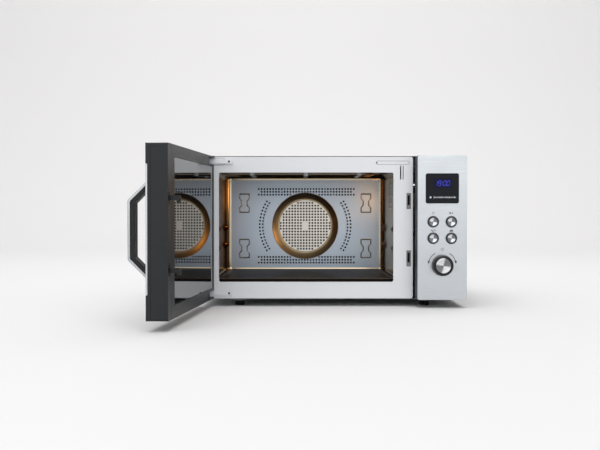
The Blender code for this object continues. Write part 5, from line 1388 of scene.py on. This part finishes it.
# turn arrows round the knob and a plain pictogram above each control
def makePrints():
    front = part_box("fascia")[0].y
    u, v = knobMiddle.x, knobMiddle.z
    marks = []
    middle, head = panel["arrowRadius"], panel["arrowHead"]
    for side in (1, -1):
        marks.append(arcBand(u, v, middle, 1.3 * mm, side * 30, side * 75))
        tip, back = math.radians(90 - side * 84), math.radians(90 - side * 72)
        marks.append([(u + radius * math.cos(angle), v + radius * math.sin(angle))
                      for radius, angle in ((middle, tip), (middle + head, back), (middle - head, back))])
    # start: an open ring with a bar across it
    marks.append(arcBand(u, v + 31.5 * mm, 2.6 * mm, 0.7 * mm, 25, 335, 28))
    marks.append([(u - 0.4 * mm, v + 31.4 * mm), (u + 0.4 * mm, v + 31.4 * mm), (u + 0.4 * mm, v + 35 * mm),
                  (u - 0.4 * mm, v + 35 * mm)])
    for index, name in enumerate(buttonNames):
        middle = middleOf(name)
        x, z = middle.x, middle.z + panel["buttonRadius"] + 6.4 * mm
        if "lower" in name:
            z -= 2.3 * mm
        if index == 0:           # waves
            for row in (-1.2 * mm, 0.6 * mm):
                for step in range(3):
                    side = 1 if step % 2 else -1
                    marks.append(arcBand(x + (step - 1) * 3 * mm, z + row, 1.5 * mm, 0.6 * mm,
                                         90 if side > 0 else -90, 270 if side > 0 else 90, 10))
        elif index == 1:         # weight
            marks.append([(x - 4 * mm, z - 1.8 * mm), (x + 4 * mm, z - 1.8 * mm),
                          (x + 2.8 * mm, z + 1.2 * mm), (x - 2.8 * mm, z + 1.2 * mm)])
            marks.append(arcBand(x, z + 1.6 * mm, 1.1 * mm, 0.5 * mm, -90, 90, 8))
        elif index == 2:         # clock
            marks.append(arcBand(x, z, 1.9 * mm, 0.5 * mm, 0, 359, 30))
            marks.append([(x - 0.25 * mm, z), (x + 0.25 * mm, z), (x + 0.25 * mm, z + 1.5 * mm),
                          (x - 0.25 * mm, z + 1.5 * mm)])
        else:                    # stop
            marks.append([(x - 4 * mm, z - 1.4 * mm), (x - 0.8 * mm, z - 1.4 * mm),
                          (x - 0.8 * mm, z + 1.4 * mm), (x - 4 * mm, z + 1.4 * mm)])
            marks.append([(x + 0.8 * mm, z - 1.4 * mm), (x + 4.4 * mm, z), (x + 0.8 * mm, z + 1.4 * mm)])
    parts = thinMarks("prints", marks, front, finishes["printGrey"])
    return settle(joinMeshes("panel_prints", parts, finishes["printGrey"]), "cabinet", "black_plastic")


makeFascia()
for buttonName in buttonNames:
    makeButton(buttonName)
makeKnob()
makeDisplay()
makePrints()
print("control panel ready")


# cabinet outside: cover, hinges, housing, rear panel, base and feet

cabinet = {
    "coverEdge": 0.3 * mm,
    "armEdge": 1.6 * mm,
    "rivetInset": 8.7 * mm,      # from the arm's outer edge
    "screwHead": 3.6 * mm,
    "screwTall": 1.3 * mm,
    "beadRadius": 1.1 * mm,
    "footRibs": 3,
}


def makeCover():
    cover = softened("cover_sheet", "outer_wrap", cabinet["coverEdge"], 2, angle=60)
    return settle(meshObject("cover_sheet", cover, finishes["wrapPaint"]), "cabinet",
                  "black_painted_steel", "outer_wrap")


def makeHinges():
    for name in ("hinge_upper", "hinge_lower"):
        low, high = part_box(name)
        arm = softened(name, name, cabinet["armEdge"], 3, angle=60)
        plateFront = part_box("front_plate")[0].y - 6 * mm
        drop = cabinet["rivetInset"]
        z = high.z - drop if name == "hinge_upper" else low.z + drop
        head = [(0, 0.35 * mm), (1.9 * mm, 0.3 * mm), (2.3 * mm, -0.2 * mm), (0, -0.3 * mm)]
        rivet = spunMesh("rivet", head, (0, -1, 0), (high.x - 6.5 * mm, plateFront, z), 24)
        parts = [arm, withMaterial(rivet, finishes["black"])]
        settle(joinMeshes(name + "_arm", parts, finishes["frontPaint"]), "cabinet",
               "galvanised_steel", name)
    # thin cover over the upper pin
    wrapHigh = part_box("outer_wrap")[1]
    pinX, pinY = hinge["pos_m"][0], hinge["pos_m"][1]
    outline = filleted([(pinX - 11 * mm, pinY - 5 * mm), (pinX + 6 * mm, pinY - 5 * mm),
                        (pinX + 22 * mm, pinY + 14.5 * mm), (pinX - 11 * mm, pinY + 14.5 * mm)], 5 * mm, 6)
    cap = sheetMesh("hinge_cap", "top", [outline], wrapHigh.z - 1.2 * mm, wrapHigh.z - 0.1 * mm, 0.3 * mm)
    settle(meshObject("hinge_cap", cap, finishes["black"]), "cabinet", "black_plastic")


def makeHousing():
    housing = softened("housing", "panel_housing", 0.5 * mm, 2, angle=60)
    settle(meshObject("panel_housing_moulding", housing, finishes["panelDark"]), "cabinet",
           "charcoal_plastic", "panel_housing")


# a pan-head screw with a cross recess, standing towards the back
def screwMesh():
    head, tall = cabinet["screwHead"], cabinet["screwTall"]
    profile = [(0, tall), (head * 0.55, tall * 0.92), (head * 0.9, tall * 0.6), (head, tall * 0.15),
               (head, -0.2 * mm), (0, -0.2 * mm)]
    mesh = spunMesh("screw", profile, (0, 1, 0), (0, 0, 0), 24)
    obj = meshObject("screw", mesh, finishes["zinc"])
    tools = []
    for long, wide in ((0.95, 0.24), (0.24, 0.95)):
        tool = meshObject("recess", blockMesh("recess", (-head * long / 2, tall * 0.35, -head * wide / 2),
                                              (head * long / 2, tall * 2, head * wide / 2), 0.02 * mm, 1),
                          finishes["zinc"])
        cutting = obj.modifiers.new("recess", "BOOLEAN")
        cutting.operation = "DIFFERENCE"
        cutting.object = tool
        tools.append(tool)
    result = evaluatedMesh(obj, "screw")
    for tool in tools:
        bpy.data.objects.remove(tool)
    return result


def makeRear():
    low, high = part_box("rear_panel")
    parts = [softened("panel", "rear_panel", 0.2 * mm, 1, angle=60)]
    glandMiddle = middleOf("cord_gland")
    chamber = middleOf("convection_fan")
    # pressed stiffening beads
    for left, right, bottom, top in ((chamber.x - 105 * mm, chamber.x + 105 * mm, chamber.z - 55 * mm,
                                      chamber.z + 55 * mm),
                                     (low.x + 16 * mm, high.x - 16 * mm, low.z + 14 * mm, high.z - 14 * mm)):
        bead = [(x, high.y - 0.3 * mm, z) for x, z in roundedRect(left, right, bottom, top, 12 * mm, 8)]
        parts.append(rodMesh("bead", bead, cabinet["beadRadius"], closed=True))
    panelSheet = joinMeshes("rear_panel_sheet", parts, finishes["zinc"])
    settle(panelSheet, "cabinet", "galvanised_steel", "rear_panel")
    inset = 8 * mm
    places = [(x, high.y, z) for x in (low.x + inset, high.x - inset)
              for z in (low.z + inset, (low.z + high.z) / 2, high.z - inset)]
    places += [((low.x + high.x) / 2, high.y, high.z - inset), ((low.x + high.x) / 2, high.y, low.z + inset)]
    screws = copiesMesh("rear_screws", screwMesh(), places, (0, 0, 0), finishes["screwSteel"])
    settle(meshObject("rear_screws", screws, finishes["screwSteel"]), "cabinet", "galvanised_steel")
    gland = softened("gland", "cord_gland", 0.8 * mm, 3)
    settle(meshObject("gland_moulding", gland, finishes["black"]), "cabinet", "black_plastic", "cord_gland")


def makeFeet():
    for name in ("foot_front_left", "foot_front_right", "foot_rear_left", "foot_rear_right"):
        low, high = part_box(name)
        radius, tall = (high.x - low.x) / 2, high.z - low.z
        middle = middleOf(name)
        profile = [(0, 1.2 * mm), (4 * mm, 1.2 * mm), (4.6 * mm, 0), (radius - 1.8 * mm, 0),
                   (radius - 0.9 * mm, 0.5 * mm)]
        for rib in range(cabinet["footRibs"]):
            z = (1.6 + 2.3 * rib) * mm
            profile += [(radius, z), (radius, z + 1.3 * mm), (radius - 0.7 * mm, z + 1.6 * mm)]
        profile += [(radius, tall - 0.9 * mm), (radius - 0.5 * mm, tall), (0, tall)]
        foot = spunMesh(name, profile, (0, 0, 1), (middle.x, middle.y, low.z), 40)
        settle(meshObject(name + "_rubber", foot, finishes["rubber"]), "cabinet", "black_rubber", name)
    base = softened("base", "base_plate", 0.3 * mm, 1, angle=30)
    settle(meshObject("base_sheet", base, finishes["zinc"]), "cabinet", "galvanised_steel", "base_plate")


makeCover()
makeHinges()
makeHousing()
makeRear()
makeFeet()
print("cabinet outside ready")


# latch: the moulded lever

def makeLatch():
    lever = softened("lever", "latch_lever", 0.5 * mm, 2, angle=30)
    settle(meshObject("latch_lever_moulding", lever, finishes["black"]), "latch", "black_plastic",
           "latch_lever")


makeLatch()

# machine parts keep their CAD shape and take their real finish, except the fan chamber and fan, which are
# near black as heat stain and painted shade behind the back wall's holes

machineFinishes = {
    "darkZinc": ("convection_housing",),
    "zinc": ("heater_cover", "hv_transformer", "cooling_fan_motor", "convection_motor", "stirrer_motor",
             "lamp_holder", "magnetron", "latch_spring", "encoder"),
    "liner": ("stirrer_well", "waveguide"),
    "fanSteel": ("convection_fan",),
    "aluminium": ("hv_capacitor", "stirrer"),
    "heaterSheath": ("ring_heater",),
    "circuitBoard": ("control_board", "filter_board"),
    "black": ("fan_shroud", "interlock_bracket", "primary_switch", "secondary_switch", "monitor_switch",
              "display_module"),
    "whitePlastic": ("thermostat", "cooling_fan"),
    "lampGlass": ("cavity_lamp",),
    "rubber": ("floor_seal",),
}
for finishName, nodeNames in machineFinishes.items():
    for nodeName in nodeNames:
        node = frame["nodes"][nodeName]
        for slot in node.material_slots:
            slot.material = finishes[finishName]
print("machine parts finished")
